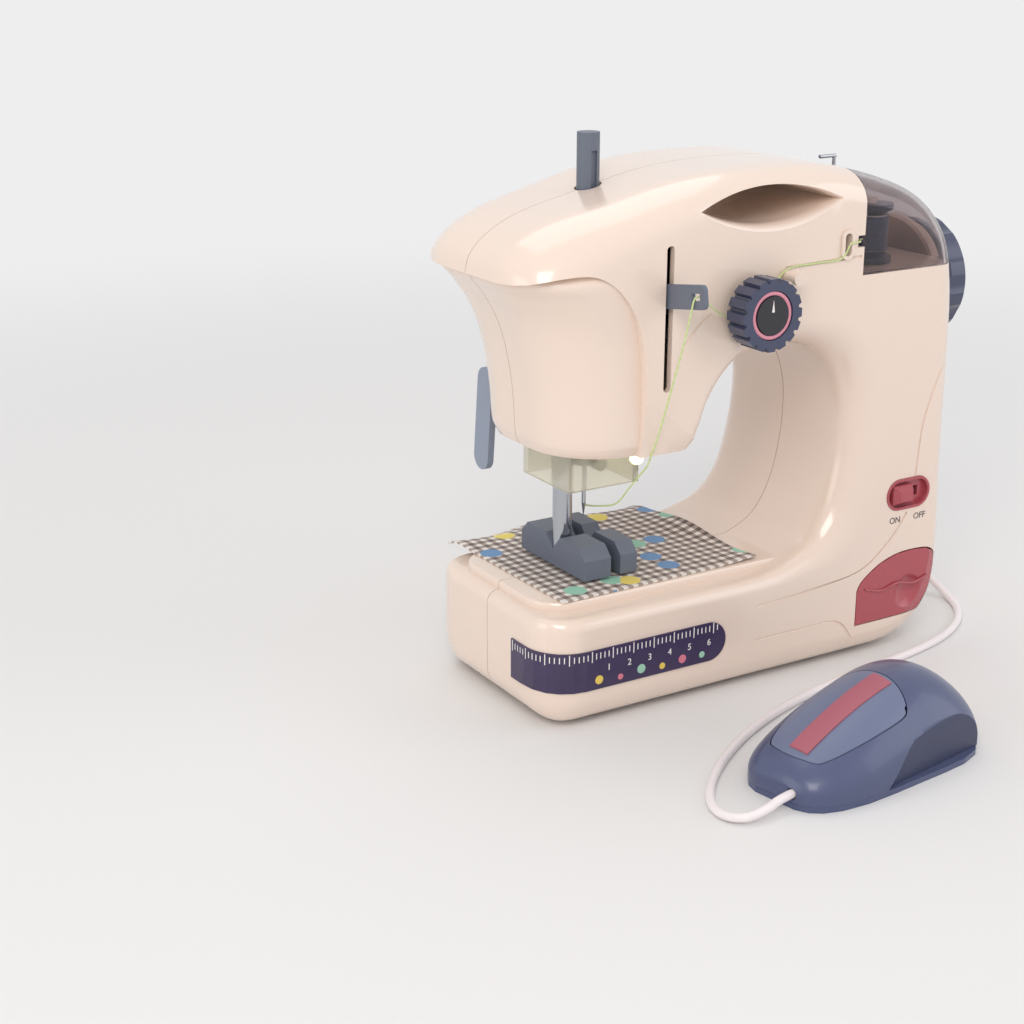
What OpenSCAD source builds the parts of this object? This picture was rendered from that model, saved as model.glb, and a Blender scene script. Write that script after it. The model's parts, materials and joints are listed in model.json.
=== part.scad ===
// Toy sewing machine with a foot pedal: two moulded half shells round a toy needle drive.
// The origin is the middle of the base, on the table. +X runs to the handwheel, -Y to the child, +Z up.

/* [Body] */
// Length of the base
body_l = 178; // [165:1:200]
// Depth of the base
body_d = 82; // [78:1:96]
// Height of the top of the arm
body_h = 186; // [180:1:205]
// Height of the sewing bed
bed_h = 44; // [41:1:48]
// Height of the throat over the bed
throat_h = 81; // [76:1:85]
// Wall of the two half shells
wall = 2.4; // [2:0.1:3]
// Radius of the bed's corners, seen from above
plan_r = 15; // [10:1:20]
// Rounding of the edge between throat and front
throat_r = 15; // [10:1:18]
// Rounding of the outer edge
top_r = 12; // [8:1:14]
// Height of the rubber feet
foot_h = 2; // [1:0.5:4]

/* [Head] */
// Space between the bed and the head
head_gap = 49; // [46:1:52]
// Half depth of the lower head
head_half_d = 35; // [34:0.5:36]
// Radius of the lower head's corners, seen from above
head_r = 26; // [22:1:28]

/* [Handle] */
// Length of the carrying hole
handle_l = 57; // [50:1:62]
// Height of the carrying hole
handle_h = 12.5; // [11:0.5:14]
// Bar left over the carrying hole
handle_bar = 5.5; // [5:0.5:9]
// Soft lip round the hole
handle_lip = 2.5; // [2:0.5:4]

/* [Needle] */
// Radius of the needle bar
bar_r = 3.9; // [3:0.1:4.2]
// Travel of the needle
stroke = 18; // [14:1:19]
// Bar that stands out of the head
bar_show = 18; // [18:1:24]
// Needle tip over the bed
tip_lift = 18; // [16:0.5:20]
// Radius of the presser bar
presser_r = 3.5; // [2.5:0.1:3.6]
// Lift of the presser foot
foot_lift = 6; // [4:0.5:7]
// Length of the presser foot
foot_l = 42; // [34:1:46]

/* [Drive] */
// Radius of the main shaft
shaft_r = 2.5; // [2:0.1:3]
// Main shaft over the throat
shaft_rise = 9; // [8:0.5:11]
// Size of the gear teeth, pitch diameter per tooth
gear_module = 1; // [0.8:0.1:1.1]
// Teeth on the shaft's gear
gear_teeth = 26; // [22:2:28]
// Teeth on the motor's pinion
pinion_teeth = 8; // [8:1:10]
// Radius of the motor can
motor_r = 10; // [8:0.5:11]
// Length of the motor can
motor_l = 24; // [18:1:30]

/* [Handwheel] */
// Radius of the handwheel
wheel_r = 23; // [19:0.5:25]
// Width of the handwheel
wheel_w = 11; // [8:0.5:14]
// Radius of the collar behind it
collar_r = 25; // [22:0.5:26]
// Width of the collar
collar_w = 8; // [6:0.5:10]

/* [Tension dial] */
// Radius of the dial
dial_r = 12.4; // [10:0.2:13]
// Width of the dial
dial_w = 9; // [7:0.5:11]
// Number of grip blocks on the rim
dial_blocks = 16; // [12:1:20]

/* [Spool] */
// Radius of the spool's flanges
spool_r = 7.8; // [6:0.1:9]
// Height of the spool
spool_h = 21; // [16:0.5:22]
// Radius of the spool pin
spool_pin_r = 2; // [1.5:0.1:2.5]
// Wall of the clear cover
cover_wall = 1.6; // [1.2:0.1:2]

/* [Drawer and switch] */
// Height of the drawer
drawer_h = 25; // [20:1:27]
// Depth of the drawer
drawer_d = 42; // [30:1:46]
// Drawer floor over the table
drawer_z = 14; // [13:0.5:16]
// Length of the switch's frame
switch_l = 21; // [18:0.5:24]
// Height of the switch's frame
switch_h = 12; // [10:0.5:14]
// Travel of the switch
switch_travel = 6; // [4:0.5:7]

/* [Pedal] */
// Length of the pedal
pedal_l = 84; // [72:1:96]
// Width of the pedal
pedal_w = 48; // [42:1:56]
// Height of the pedal
pedal_h = 30; // [26:1:34]
// Wall of the pedal
pedal_wall = 2; // [1.6:0.1:2.6]

/* [Cloth and cord] */
// Width of the cloth
cloth_w = 84; // [70:1:90]
// Length of the cloth
cloth_l = 78; // [64:1:84]
// Thickness of the cloth
cloth_t = 0.8; // [0.6:0.1:1]
// Diameter of the cord
cord_d = 3; // [2.4:0.1:3.6]

/* [Clearances] */
// Radial running clearance of shafts and pins
run_gap = 0.06; // [0.03:0.01:0.1]
// Clearance of sliding and lifting pieces
slip_gap = 0.4; // [0.3:0.05:0.6]
// Clearance of pieces that are seated
seat_gap = 0.1; // [0.05:0.05:0.2]

/* [Hidden] */
$fn = 40;

// One overrun serves all cuts
over = 1;
half_l = body_l / 2;
half_d = body_d / 2;
throat_top = bed_h + throat_h;
head_z = bed_h + head_gap;
rise_h = body_h - foot_h;

// Colours of the mouldings
cream = "#eddacb";
navy = "#3f4660";
grey = "#646b78";
steel = "#b9bcc2";
red = "#b5505a";

// Spline and loft helpers
function mix(a, b, t) = a + (b - a) * t;
function spline(a, b, c, d, t) =
    0.5 * (2 * b + (c - a) * t + (2 * a - 5 * b + 4 * c - d) * t * t + (3 * b - a - 3 * c + d) * t * t * t);
function smooth(keys, steps) = [
    for (i = [0:len(keys) - 2])
        for (k = [0:steps - 1])
            spline(keys[max(i - 1, 0)], keys[i], keys[i + 1], keys[min(i + 2, len(keys) - 1)], k / steps),
    keys[len(keys) - 1]];

module loft(rings, flip = false, strips = false) {
    m = len(rings[0]);
    n = len(rings);
    sides = [for (i = [0:n - 2]) for (j = [0:m - 1])
        let (a = i * m + j, b = (i + 1) * m + j, c = (i + 1) * m + (j + 1) % m, d = i * m + (j + 1) % m)
        each [[a, b, c], [a, c, d]]];
    strip = [for (k = [0:m / 2 - 2]) each [[k, k + 1, m - 2 - k], [k, m - 2 - k, m - 1 - k]]];
    first = strips ? strip : [[for (j = [0:m - 1]) j]];
    last = [for (f = first) [for (k = [len(f) - 1:-1:0]) (n - 1) * m + f[k]]];
    faces = concat(sides, first, last);
    turned = [for (f = faces) [for (k = [len(f) - 1:-1:0]) f[k]]];
    polyhedron(points = [for (r = rings) each r], faces = flip ? turned : faces);
}

module rod_x(r, x0, x1, y, z) {
    translate([x0, y, z]) rotate([0, 90, 0]) cylinder(r = r, h = x1 - x0);
}

module rod_y(r, y0, y1, x, z) {
    translate([x, y1, z]) rotate([90, 0, 0]) cylinder(r = r, h = y1 - y0);
}

module rod_z(r, z0, z1, x, y) {
    translate([x, y, z0]) cylinder(r = r, h = z1 - z0);
}

module box(x0, x1, y0, y1, z0, z1) {
    translate([x0, y0, z0]) cube([x1 - x0, y1 - y0, z1 - z0]);
}

// Flat outline in X and Z, carried through from y0 to y1
module slab_y(points, y0, y1) {
    translate([0, y1, 0]) rotate([90, 0, 0]) linear_extrude(y1 - y0) polygon(points);
}

// Body: ribs from the throat's edge to the outer edge, from the bed's end round to the head.
// A rib's shares: throat x and z, outer x and z, depth, throat rounding x and y, outer rounding x and y.
bed_edge_share = 0.3;
skirt_share = 0.85;
rib_shares = [
    [-0.83, -0.037, -0.83, 0, 1, 0.3, 0.3, 0.85, 0.7],
    [-0.34, -0.037, -0.34, 0, 1, 0.3, 0.3, 0.85, 0.7],
    [0.02, -0.034, 0.08, 0, 1, 0.35, 0.3, 0.85, 0.7],
    [0.2, 0.012, 0.5, 0, 1, 0.55, 0.45, 0.9, 0.7],
    [0.315, 0.08, 0.765, 0.006, 1, 0.8, 0.65, 0.9, 0.75],
    [0.393, 0.21, 0.933, 0.05, 0.99, 1, 0.75, 0.9, 0.8],
    [0.438, 0.383, 1, 0.14, 0.985, 1.05, 0.8, 0.8, 0.8],
    [0.455, 0.568, 1, 0.376, 0.975, 1.05, 0.8, 0.75, 0.8],
    [0.444, 0.716, 1, 0.618, 0.965, 1.05, 0.8, 0.75, 0.8],
    [0.399, 0.846, 0.989, 0.768, 0.96, 1, 0.8, 0.85, 0.95],
    [0.32, 0.932, 0.933, 0.862, 0.955, 0.95, 0.75, 0.95, 1.1],
    [0.202, 0.985, 0.755, 0.936, 0.955, 0.85, 0.7, 1, 1.2],
    [0.056, 1, 0.36, 0.991, 0.955, 0.7, 0.6, 1, 1.25],
    [-0.079, 0.982, 0, 1, 0.96, 0.6, 0.5, 1, 1.3],
    [-0.18, 0.914, -0.315, 0.989, 0.965, 0.5, 0.45, 1.05, 1.4],
    [-0.253, 0.802, -0.618, 0.954, 0.965, 0.5, 0.5, 1.2, 1.6],
    [-0.287, 0.69, -0.876, 0.905, 0.962, 0.5, 0.55, 1.5, 1.85],
    [-0.296, 0.654, -1.022, 0.864, 0.96, 0.5, 0.6, 1.65, 1.95],
    [-0.301, 0.63, -1.09, 0.8315, 0.955, 0.5, 0.6, 1.7, 2]];
head_rib_share = 0.8;
head_taper = 3;
arm_depth_share = 0.955;
column_depth_share = 0.975;
body_steps = 3;
end_steps = 5;
edge_steps = 3;
cavity_steps = 2;

shoulder_z = bed_h + rib_shares[0][1] * throat_h;
function sag(t, r) = t >= r ? 0 : r - sqrt(r * r - (r - t) * (r - t));
function rib_sizes(s) = [s[0] * half_l, bed_h + s[1] * throat_h, s[2] * half_l, foot_h + s[3] * rise_h,
    s[4] * half_d, s[5] * throat_r, s[6] * throat_r, s[7] * top_r, s[8] * top_r];
function end_rib(angle, inset) =
    let (r = plan_r - inset, t = r * (1 - cos(angle)), top = bed_edge_share * throat_r, low = skirt_share * top_r)
    [-half_l + inset + t, shoulder_z - sag(t, top), -half_l + inset + t, foot_h + sag(t, low),
        half_d - r * (1 - sin(angle)), top, top, low, rib_shares[0][8] * top_r];
function head_rib(inset) = let (s = rib_sizes(rib_shares[len(rib_shares) - 1]))
    [s[0], head_z + inset, -head_rib_share * half_l, head_z + inset, s[4] - head_taper, s[5], s[6], s[7], s[8]];
function body_ribs(inset, steps) = concat(
    [for (k = [0:end_steps - 1]) end_rib(90 * k / end_steps, inset)],
    smooth([for (s = rib_shares) rib_sizes(s)], steps),
    [head_rib(inset)]);
// Half section of a rib: from the throat along the front to the outer edge, inset by a wall
function section(q, inset, mid, steps) =
    let (v = [q[2] - q[0], q[3] - q[1]], u = v / norm(v), l = norm(v) - 2 * inset, d = q[4] - inset,
        ax = max(q[5] - inset, seat_gap), ay = max(q[6] - inset, seat_gap),
        bx = max(q[7] - inset, seat_gap), by = max(q[8] - inset, seat_gap),
        ways = concat([[0, mid]],
            [for (k = [0:steps]) let (f = 90 * k / steps) [ax * (1 - cos(f)), ay * (1 - sin(f)) - d]],
            [for (k = [steps:-1:0]) let (f = 90 * k / steps) [l - bx * (1 - cos(f)), by * (1 - sin(f)) - d]],
            [[l, mid]]))
    [for (p = ways) [q[0] + u[0] * (inset + p[0]), p[1], q[1] + u[1] * (inset + p[0])]];

// Lower head: level over the head's end, reach, half depth and corner radius as shares
head_shares = [[0, 0.85, 0.94, 0.95], [0.035, 0.862, 0.975, 0.97], [0.09, 0.872, 1, 1], [0.28, 0.88, 1.01, 1],
    [0.46, 0.897, 1.02, 1], [0.64, 0.928, 1.035, 1], [0.78, 0.968, 1.06, 1], [0.9, 1.022, 1.085, 0.98],
    [1, 1.068, 1.1, 0.95], [1.07, 0.98, 1.02, 0.9]];
brow_share = 0.83;
head_back_share = 0.48;
brow_z = foot_h + brow_share * rise_h;
function head_ring(s, inset, mid, steps) =
    let (z = mix(head_z + inset, brow_z + inset, s[0]), x = -s[1] * half_l + inset,
        d = s[2] * head_half_d - inset, r = max(s[3] * head_r - inset, over))
    concat([[-head_back_share * half_l, mid, z]], [[-head_back_share * half_l, -d, z]],
        [for (k = [0:steps]) let (f = 90 * k / steps) [x + r * (1 - sin(f)), r * (1 - cos(f)) - d, z]],
        [[x, mid, z]]);
// Line where the brow meets the lower head, as shares of the half length and the rise
brow_line_shares = [[-1.3, 0.829], [-1.083, 0.829], [-0.95, 0.843], [-0.83, 0.845], [-0.75, 0.832],
    [-0.68, 0.805], [-0.62, 0.762], [-0.585, 0.71], [-0.568, 0.65], [-0.562, 0.57], [-0.562, 0.4], [-1.3, 0.4]];
function body_point(s) = [s[0] * half_l, foot_h + s[1] * rise_h];

// A stretch of the body between two ribs, with its middle face at y = mid
module body_run(first, last, inset, mid, steps = edge_steps) {
    ribs = body_ribs(inset, steps == edge_steps ? body_steps : cavity_steps);
    loft([for (k = [first:min(last, len(ribs) - 1)]) section(ribs[k], inset, mid, steps)]);
}
function rib_index(key) = end_steps + key * body_steps;
last_rib = rib_index(len(rib_shares));

// Raised part of the bed: distance from the left end and the front, right end, corner and edge
plateau_side = 6;
plateau_front = 11;
plateau_end_share = 0.19;
plateau_r = 12;
plateau_edge = 1.2;
plateau_steps = 4;
module plateau_layer(grow, low, high) {
    x = -half_l + plateau_side - grow;
    d = half_d - plateau_front + grow;
    r = plateau_r + grow;
    translate([0, 0, low]) linear_extrude(high - low) polygon(concat([[x, 0]],
        [for (k = [0:plateau_steps]) let (f = 90 * k / plateau_steps) [x + r * (1 - cos(f)), r * (1 - sin(f)) - d]],
        [[plateau_end_share * half_l, -d], [plateau_end_share * half_l, 0]]));
}
module plateau() {
    plateau_layer(plateau_edge, shoulder_z - wall / 2, bed_h - plateau_edge);
    plateau_layer(plateau_edge / 2, bed_h - plateau_edge - wall / 2, bed_h - plateau_edge / 2);
    plateau_layer(0, bed_h - plateau_edge - wall / 2, bed_h);
}

module half_solid(inset, mid, steps = edge_steps) {
    difference() {
        body_run(0, last_rib, inset, mid, steps);
        translate([inset, 0, inset]) slab_y([for (s = brow_line_shares) body_point(s)], -body_d, body_d);
    }
    loft([for (s = smooth(head_shares, 2)) head_ring(s, inset, mid, steps)], flip = true);
}

// Carrying hole: an eye shape through the arm, with soft lips
handle_steps = 8;
handle_z = body_h - handle_bar - handle_h / 2;
arm_y = arm_depth_share * half_d;
function eye(l, h) = concat(
    [for (k = [-handle_steps:handle_steps - 1]) let (t = k / handle_steps) [l * t, h * (1 - t * t)]],
    [for (k = [handle_steps:-1:1 - handle_steps]) let (t = k / handle_steps) [l * t, -h * (1 - t * t)]]);
module eye_slab(grow, y0, y1) {
    translate([0, 0, handle_z]) slab_y(eye(handle_l / 2 + grow, handle_h / 2 + grow), y0, y1);
}
module handle_hole(grow) {
    eye_slab(grow, -body_d, body_d);
    for (side = [0, 1])
        mirror([0, side, 0]) hull() {
            eye_slab(grow, -arm_y + handle_lip * 2, -arm_y + handle_lip * 2 + over);
            eye_slab(grow + handle_lip, -arm_y - over, -arm_y);
        }
}

// Spool corner: left edge and floor of the clear cover, as shares of the half length and the rise
pocket_shares = [0.46, 0.785];
pocket_x = body_point(pocket_shares)[0];
pocket_z = body_point(pocket_shares)[1];
notch_h_shares = [0.84, 0.862];
notch_reach = 3;
module pocket(grow) {
    box(pocket_x - grow, body_l, -body_d, body_d, pocket_z - grow, 2 * body_h);
}
module thread_notch() {
    box(pocket_x - notch_reach, pocket_x + over, -body_d, -arm_y + 2 * wall, foot_h + notch_h_shares[0] * rise_h,
        foot_h + notch_h_shares[1] * rise_h);
}

// Needle, presser and crank places, in planes one beside the other along X
needle_share = 0.55;
rod_hole_share = 0.965;
bar_space = 1.6;
yoke_web = 1.3;
plane_gap = 0.6;
lever_t = 1.6;
crank_pin_l = 2;
crank_t = 3;
needle_x = -needle_share * half_l;
presser_x = needle_x - bar_r - presser_r - bar_space;
bar_top = foot_h + rod_hole_share * rise_h + bar_show;
tip_z = bed_h + tip_lift;
shaft_z = throat_top + shaft_rise;
yoke_x = needle_x + bar_r + yoke_web;
lever_x = yoke_x + plane_gap;
crank_pin_x = lever_x + lever_t + plane_gap;
crank_x = crank_pin_x + crank_pin_l;
crank_throw = stroke / 2;

// Windows in the shells
rod_gap = 0.8;
head_hole_l = 34;
head_hole_d = 34;
head_hole_shift = 1.5;
plate_l = 38;
plate_d = 40;
plate_t = 1.2;
needle_hole_r = 2;
door_l = 78;
door_d = 56;
door_share = -0.225;
spigot_r = 8;
gland_y = 10;
gland_r = 3.2;
gland_z = 24;
slot_w = 3;
slot_shares = [0.625, 0.875];
slot_x = lever_x + lever_t / 2;
dial_shares = [-0.1, 0.75];
dial_depth_share = 0.969;
dial_face = dial_depth_share * half_d;
dial_at = body_point(dial_shares);
stud_r = 3;
guide_shares = [0.37, 0.848];
guide_at = body_point(guide_shares);
guide_w = 3;
guide_h = 8;
guide_rim = 1.3;
peg_shares = [0.07, 0.805];
peg_at = body_point(peg_shares);
switch_shares = [0.775, 0.326];
switch_at = body_point(switch_shares);
column_y = column_depth_share * half_d;
bore_d = half_d / 2;

module rod_hole() {
    rod_z(bar_r + rod_gap, brow_z, bar_top, needle_x, 0);
}
module head_hole(grow) {
    x = needle_x - head_hole_shift;
    box(x - head_hole_l / 2 - grow, x + head_hole_l / 2 + grow, -head_hole_d / 2 - grow, head_hole_d / 2 + grow,
        head_z - over, head_z + wall + over);
}
module plate_slab(grow, low, high) {
    box(needle_x - plate_l / 2 - grow, needle_x + plate_l / 2 + grow, -plate_d / 2 - grow, plate_d / 2 + grow,
        low, high);
}
module door_slab(grow, low, high) {
    x = door_share * half_l;
    box(x - door_l / 2 - grow, x + door_l / 2 + grow, -door_d / 2 - grow, door_d / 2 + grow, low, high);
}
module take_up_slot() {
    hull()
        for (s = slot_shares) rod_y(slot_w / 2, -body_d, -arm_y + 2 * wall, slot_x, foot_h + s * rise_h);
}
module pill(l, h, y0, y1) {
    hull()
        for (side = [-1, 1]) translate([side * (l - h) / 2, 0, 0]) rod_y(h / 2, y0, y1, switch_at[0], switch_at[1]);
}
module guide_cut(grow, y0, y1) {
    hull()
        for (side = [-1, 1])
            rod_y(guide_w / 2 + grow, y0, y1, guide_at[0], guide_at[1] + side * (guide_h - guide_w) / 2);
}

// Drawer: arched outline as shares of its length and height
drawer_x_shares = [0.52, 0.955];
drawer_x0 = drawer_x_shares[0] * half_l;
drawer_x1 = drawer_x_shares[1] * half_l;
drawer_shares = [[0, 0], [0.86, 0], [0.94, 0.06], [0.985, 0.2], [1, 0.5], [1, 0.8], [0.97, 0.9], [0.88, 0.975],
    [0.7, 1], [0.5, 0.985], [0.3, 0.9], [0.14, 0.77], [0.04, 0.65], [0, 0.54]];
module drawer_slab(grow, y0, y1) {
    translate([0, y1, 0]) rotate([90, 0, 0]) linear_extrude(y1 - y0) offset(delta = grow)
        polygon([for (s = drawer_shares) [mix(drawer_x0, drawer_x1, s[0]), drawer_z + s[1] * drawer_h]]);
}

// Styling grooves: places as shares of the half length, the rise and the half depth
groove_r = 0.7;
groove_depth = 0.8;
column_groove_shares = [[0.97, 0.61, 0.965], [0.9, 0.555, 0.968], [0.835, 0.467, 0.972], [0.81, 0.36, 0.976]];
base_groove_shares = [[0.775, 0.285, 0.98], [0.69, 0.235, 0.985], [0.54, 0.185, 0.99], [0.3, 0.168, 0.995],
    [-0.01, 0.158, 1]];
skirt_groove_shares = [[-0.01, 0.087, 1], [0.415, 0.087, 1], [0.505, 0.035, 1]];
head_groove_shares = [[-0.28, 0.75, 0.965], [-0.35, 0.728, 0.966], [-0.427, 0.674, 0.968], [-0.46, 0.598, 0.972],
    [-0.483, 0.533, 0.974]];
thread_groove_shares = [[0.07, 0.818, 0.955], [0.45, 0.822, 0.955]];
module groove(places) {
    for (k = [0:len(places) - 2])
        hull()
            for (s = [places[k], places[k + 1]])
                translate([s[0] * half_l, -s[2] * half_d, foot_h + s[1] * rise_h]) rotate([90, 0, 0])
                    translate([0, 0, -groove_depth]) cylinder(r1 = groove_r / 2, r2 = groove_r * 2, h = 3 * groove_depth, $fn = 8);
}

// Screw posts: places as shares of the half length, the rise and the half depth of the screw's seat
post_shares = [[-0.84, 0.12, 0.85], [0.36, 0.12, 0.85], [0.62, 0.44, 0.82], [0.2, 0.78, 0.82], [-0.8, 0.875, 0.45]];
post_r = 3.6;
screw_r = 1.4;
screw_head_r = 2.8;
screw_head_h = 2;
screw_grip = 12;
module posts() {
    for (s = post_shares) rod_y(post_r, -body_d, body_d, s[0] * half_l, foot_h + s[1] * rise_h, $fn = 16);
}
module screw_holes() {
    for (s = post_shares) {
        rod_y(screw_r + seat_gap, -screw_grip - over, body_d, s[0] * half_l, foot_h + s[1] * rise_h, $fn = 12);
        rod_y(screw_head_r + slip_gap, s[2] * half_d, body_d, s[0] * half_l, foot_h + s[1] * rise_h, $fn = 16);
    }
}

// Lifter: a plate behind the head on a pin across it, with a cam under the presser bar's lug
lifter_y = 8;
lifter_rise = 11;
lifter_t = 2.5;
lifter_w = 10;
lifter_back = 26;
lifter_drop = 26;
lifter_slot_h = 40;
cam_r = 3;
cam_l = 4;
cam_steps = 12;
lifter_turn = 60;
lifter_pin_r = 1.5;
lug_reach = 8.8;
lifter_z = head_z + lifter_rise;
lug_x = presser_x - lug_reach;
lifter_x1 = lug_x - plane_gap;
lifter_x0 = lifter_x1 - lifter_t;
module lifter_slot() {
    box(lifter_x0 - slip_gap * 2, lifter_x1 + slip_gap * 2, head_half_d / 2, body_d, head_z - over,
        head_z + lifter_slot_h);
}

// The two half shells
module shell(front) {
    difference() {
        union() {
            half_solid(0, 0);
            plateau();
        }
        difference() {
            half_solid(wall, over, cavity_steps);
            handle_hole(wall);
            pocket(wall);
            mirror([0, front ? 0 : 1, 0]) posts();
        }
        handle_hole(0);
        pocket(0);
        rod_hole();
        head_hole(0);
        plate_slab(seat_gap, bed_h - plate_t, bed_h + over);
        rod_z(needle_hole_r, shoulder_z - wall - over, bed_h + over, needle_x, 0);
        door_slab(0, foot_h - over, foot_h + wall + over);
        rod_x(spigot_r + seat_gap, half_l - wall - over, half_l + over, 0, shaft_z);
    }
}

module front_shell() color(cream) difference() {
    shell(true);
    screw_holes();
    take_up_slot();
    rod_y(stud_r + seat_gap, -body_d, -bore_d, dial_at[0], dial_at[1]);
    guide_cut(0, -body_d, -arm_y + 2 * wall);
    thread_notch();
    pill(switch_l + seat_gap * 2, switch_h + seat_gap * 2, -body_d, -column_y + 2 * wall);
    drawer_slab(slip_gap, -body_d, -bore_d);
    groove(column_groove_shares);
    groove(base_groove_shares);
    groove(skirt_groove_shares);
    groove(head_groove_shares);
    groove(thread_groove_shares);
}

module rear_shell() color(cream) difference() {
    union() {
        mirror([0, 1, 0]) shell(false);
        hinge_lug(0);
        rod_x(knuckle_r, hinge_x[1] - knuckle_l / 2, hinge_x[1] + knuckle_l / 2, hinge_y, hinge_z);
    }
    rod_x(hinge_pin_r, hinge_x[1] - knuckle_l, hinge_x[1] + knuckle_l, hinge_y, hinge_z);
    screw_holes();
    lifter_slot();
    rod_x(gland_r + seat_gap, half_l - post_r * 2, half_l + over, gland_y, gland_z);
}

// Feet, needle plate and battery box
foot_r = 5;
foot_x_shares = [-0.72, 0.45];
foot_y_share = 0.6;
door_grip_w = 14;
door_grip_d = 4;
tray_wall = 1.6;
tray_h = 17;
cell_r = 7.25;
module rubber_feet() color("#3b3b40")
    for (x = foot_x_shares, side = [-1, 1])
        rod_z(foot_r, 0, foot_h - seat_gap, x * half_l, side * foot_y_share * half_d);

module needle_plate() color(steel) difference() {
    plate_slab(0, bed_h - plate_t, bed_h);
    rod_z(needle_hole_r, bed_h - plate_t - over, bed_h + over, needle_x, 0);
}

module battery_door() color(cream) difference() {
    door_slab(-slip_gap, foot_h, foot_h + wall);
    translate([door_share * half_l + door_l / 2 - door_grip_d * 2, 0, 0])
        box(-door_grip_d / 2, door_grip_d / 2, -door_grip_w / 2, door_grip_w / 2, foot_h - over, foot_h + wall / 2);
}

module battery_tray() color("#3d4046") difference() {
    door_slab(tray_wall, foot_h + wall, foot_h + wall + tray_h);
    for (k = [-1, 0, 1])
        rod_x(cell_r, door_share * half_l - door_l / 2 + tray_wall, door_share * half_l + door_l / 2 - tray_wall,
            k * (cell_r * 2 + tray_wall), foot_h + wall + cell_r);
    door_slab(-tray_wall, foot_h, foot_h + wall + cell_r);
}

// Spool corner: clear cover on a pin, spool on its own pin, wire guide on top
hinge_y_share = 0.885;
hinge_rise = 3.4;
hinge_pin_r = 1;
knuckle_r = 2.3;
knuckle_l = 6;
hinge_x_shares = [0.552, 0.69, 0.828];
spool_shares = [0.68, -0.48];
flange_t = 2;
spool_core_r = 4.2;
winding_r = 6;
pin_head = 2.5;
wire_r = 0.7;
wire_foot_r = 2;
wire_foot_h = 2.4;
wire_shares = [0.74, 0.93];
wire_y = 8;
wire_rise = 8;
wire_reach = 7;
spool_x = spool_shares[0] * half_l;
spool_y = spool_shares[1] * half_d;
hinge_y = hinge_y_share * half_d;
hinge_z = pocket_z + hinge_rise;
hinge_x = hinge_x_shares * half_l;
spool_z = pocket_z + slip_gap;
cover_keys = [8, 13];
function whole_section(half) = concat([for (k = [1:len(half) - 2]) half[k]],
    [for (k = [len(half) - 2:-1:1]) [half[k][0], -half[k][1], half[k][2]]]);
module arm_run(inset, extra) {
    ribs = body_ribs(inset, body_steps);
    loft([for (k = [rib_index(cover_keys[0]) - extra:rib_index(cover_keys[1]) + extra])
        whole_section(section(ribs[k], inset, 0, edge_steps))]);
}
module hinge_lug(grow) {
    box(hinge_x[1] - knuckle_l / 2 - grow, hinge_x[1] + knuckle_l / 2 + grow, hinge_y - knuckle_r - grow,
        grow > 0 ? body_d : hinge_y + knuckle_r, pocket_z - wall / 2, grow > 0 ? hinge_z + knuckle_r + grow : hinge_z);
}
module spool_cover() color([0.35, 0.33, 0.36, 0.55]) difference() {
    union() {
        difference() {
            intersection() {
                difference() {
                    arm_run(0, 1);
                    arm_run(cover_wall, 2);
                }
                pocket(-slip_gap);
            }
            box(0, body_l, hinge_y - knuckle_r * 2, body_d, 0, hinge_z);
            hinge_lug(slip_gap);
        }
        for (x = [hinge_x[0], hinge_x[2]])
            rod_x(knuckle_r, x - knuckle_l / 2, x + knuckle_l / 2, hinge_y, hinge_z);
    }
    rod_x(hinge_pin_r + run_gap, 0, body_l, hinge_y, hinge_z);
}

module cover_pin() color(steel)
    rod_x(hinge_pin_r, hinge_x[0] - knuckle_l / 2, hinge_x[2] + knuckle_l / 2, hinge_y, hinge_z);

module spool_pin() color(cream) rod_z(spool_pin_r, pocket_z, spool_z + spool_h + pin_head, spool_x, spool_y);

module thread_spool() color(navy) translate([spool_x, spool_y, spool_z]) rotate_extrude()
    polygon([[spool_pin_r + run_gap, 0], [spool_r, 0], [spool_r, flange_t], [spool_core_r, flange_t * 2],
        [spool_core_r, spool_h - flange_t * 2], [spool_r, spool_h - flange_t], [spool_r, spool_h],
        [spool_pin_r + run_gap, spool_h]]);

// Thread on the spool: one unbroken helix, a layer on a plain core
thread_d = 0.7;
winding_loops = 9;
winding_rings = 24;
winding_gap = 0.25;
thread_sides = 6;
wind_z0 = spool_z + flange_t * 2 + thread_d;
wind_z1 = spool_z + spool_h - flange_t * 2 - thread_d;
function winding_point(t) = [spool_x + winding_r * cos(360 * winding_loops * t),
    spool_y + winding_r * sin(360 * winding_loops * t), mix(wind_z0, wind_z1, t)];
winding_n = winding_loops * winding_rings;
winding_points = [for (i = [0:winding_n]) winding_point(i / winding_n)];
echo(least_thread_gap = min([for (i = [0:winding_n]) for (j = [i + winding_rings / 2:winding_n])
    norm(winding_points[i] - winding_points[j])]) - thread_d);
module thread_winding() color("#46506e") {
    loft([for (i = [0:winding_n]) let (c = winding_points[i], f = 360 * i / winding_rings)
        [for (k = [0:thread_sides - 1]) let (g = 360 * k / thread_sides, r = thread_d / 2)
            c + [r * cos(g) * cos(f), r * cos(g) * sin(f), r * sin(g)]]], flip = true);
    difference() {
        rod_z(winding_r - thread_d / 2 - winding_gap, spool_z + flange_t * 2, spool_z + spool_h - flange_t * 2,
            spool_x, spool_y);
        rod_z(spool_core_r + seat_gap, spool_z, spool_z + spool_h, spool_x, spool_y);
    }
}

module wire_guide() color(steel) {
    place = body_point(wire_shares);
    top = place[1] + wire_rise;
    rod_z(wire_foot_r, place[1], place[1] + wire_foot_h, place[0], wire_y);
    rod_z(wire_r, place[1], top, place[0], wire_y);
    rod_x(wire_r, place[0] - wire_reach, place[0] + wire_r, wire_y, top);
}

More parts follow.
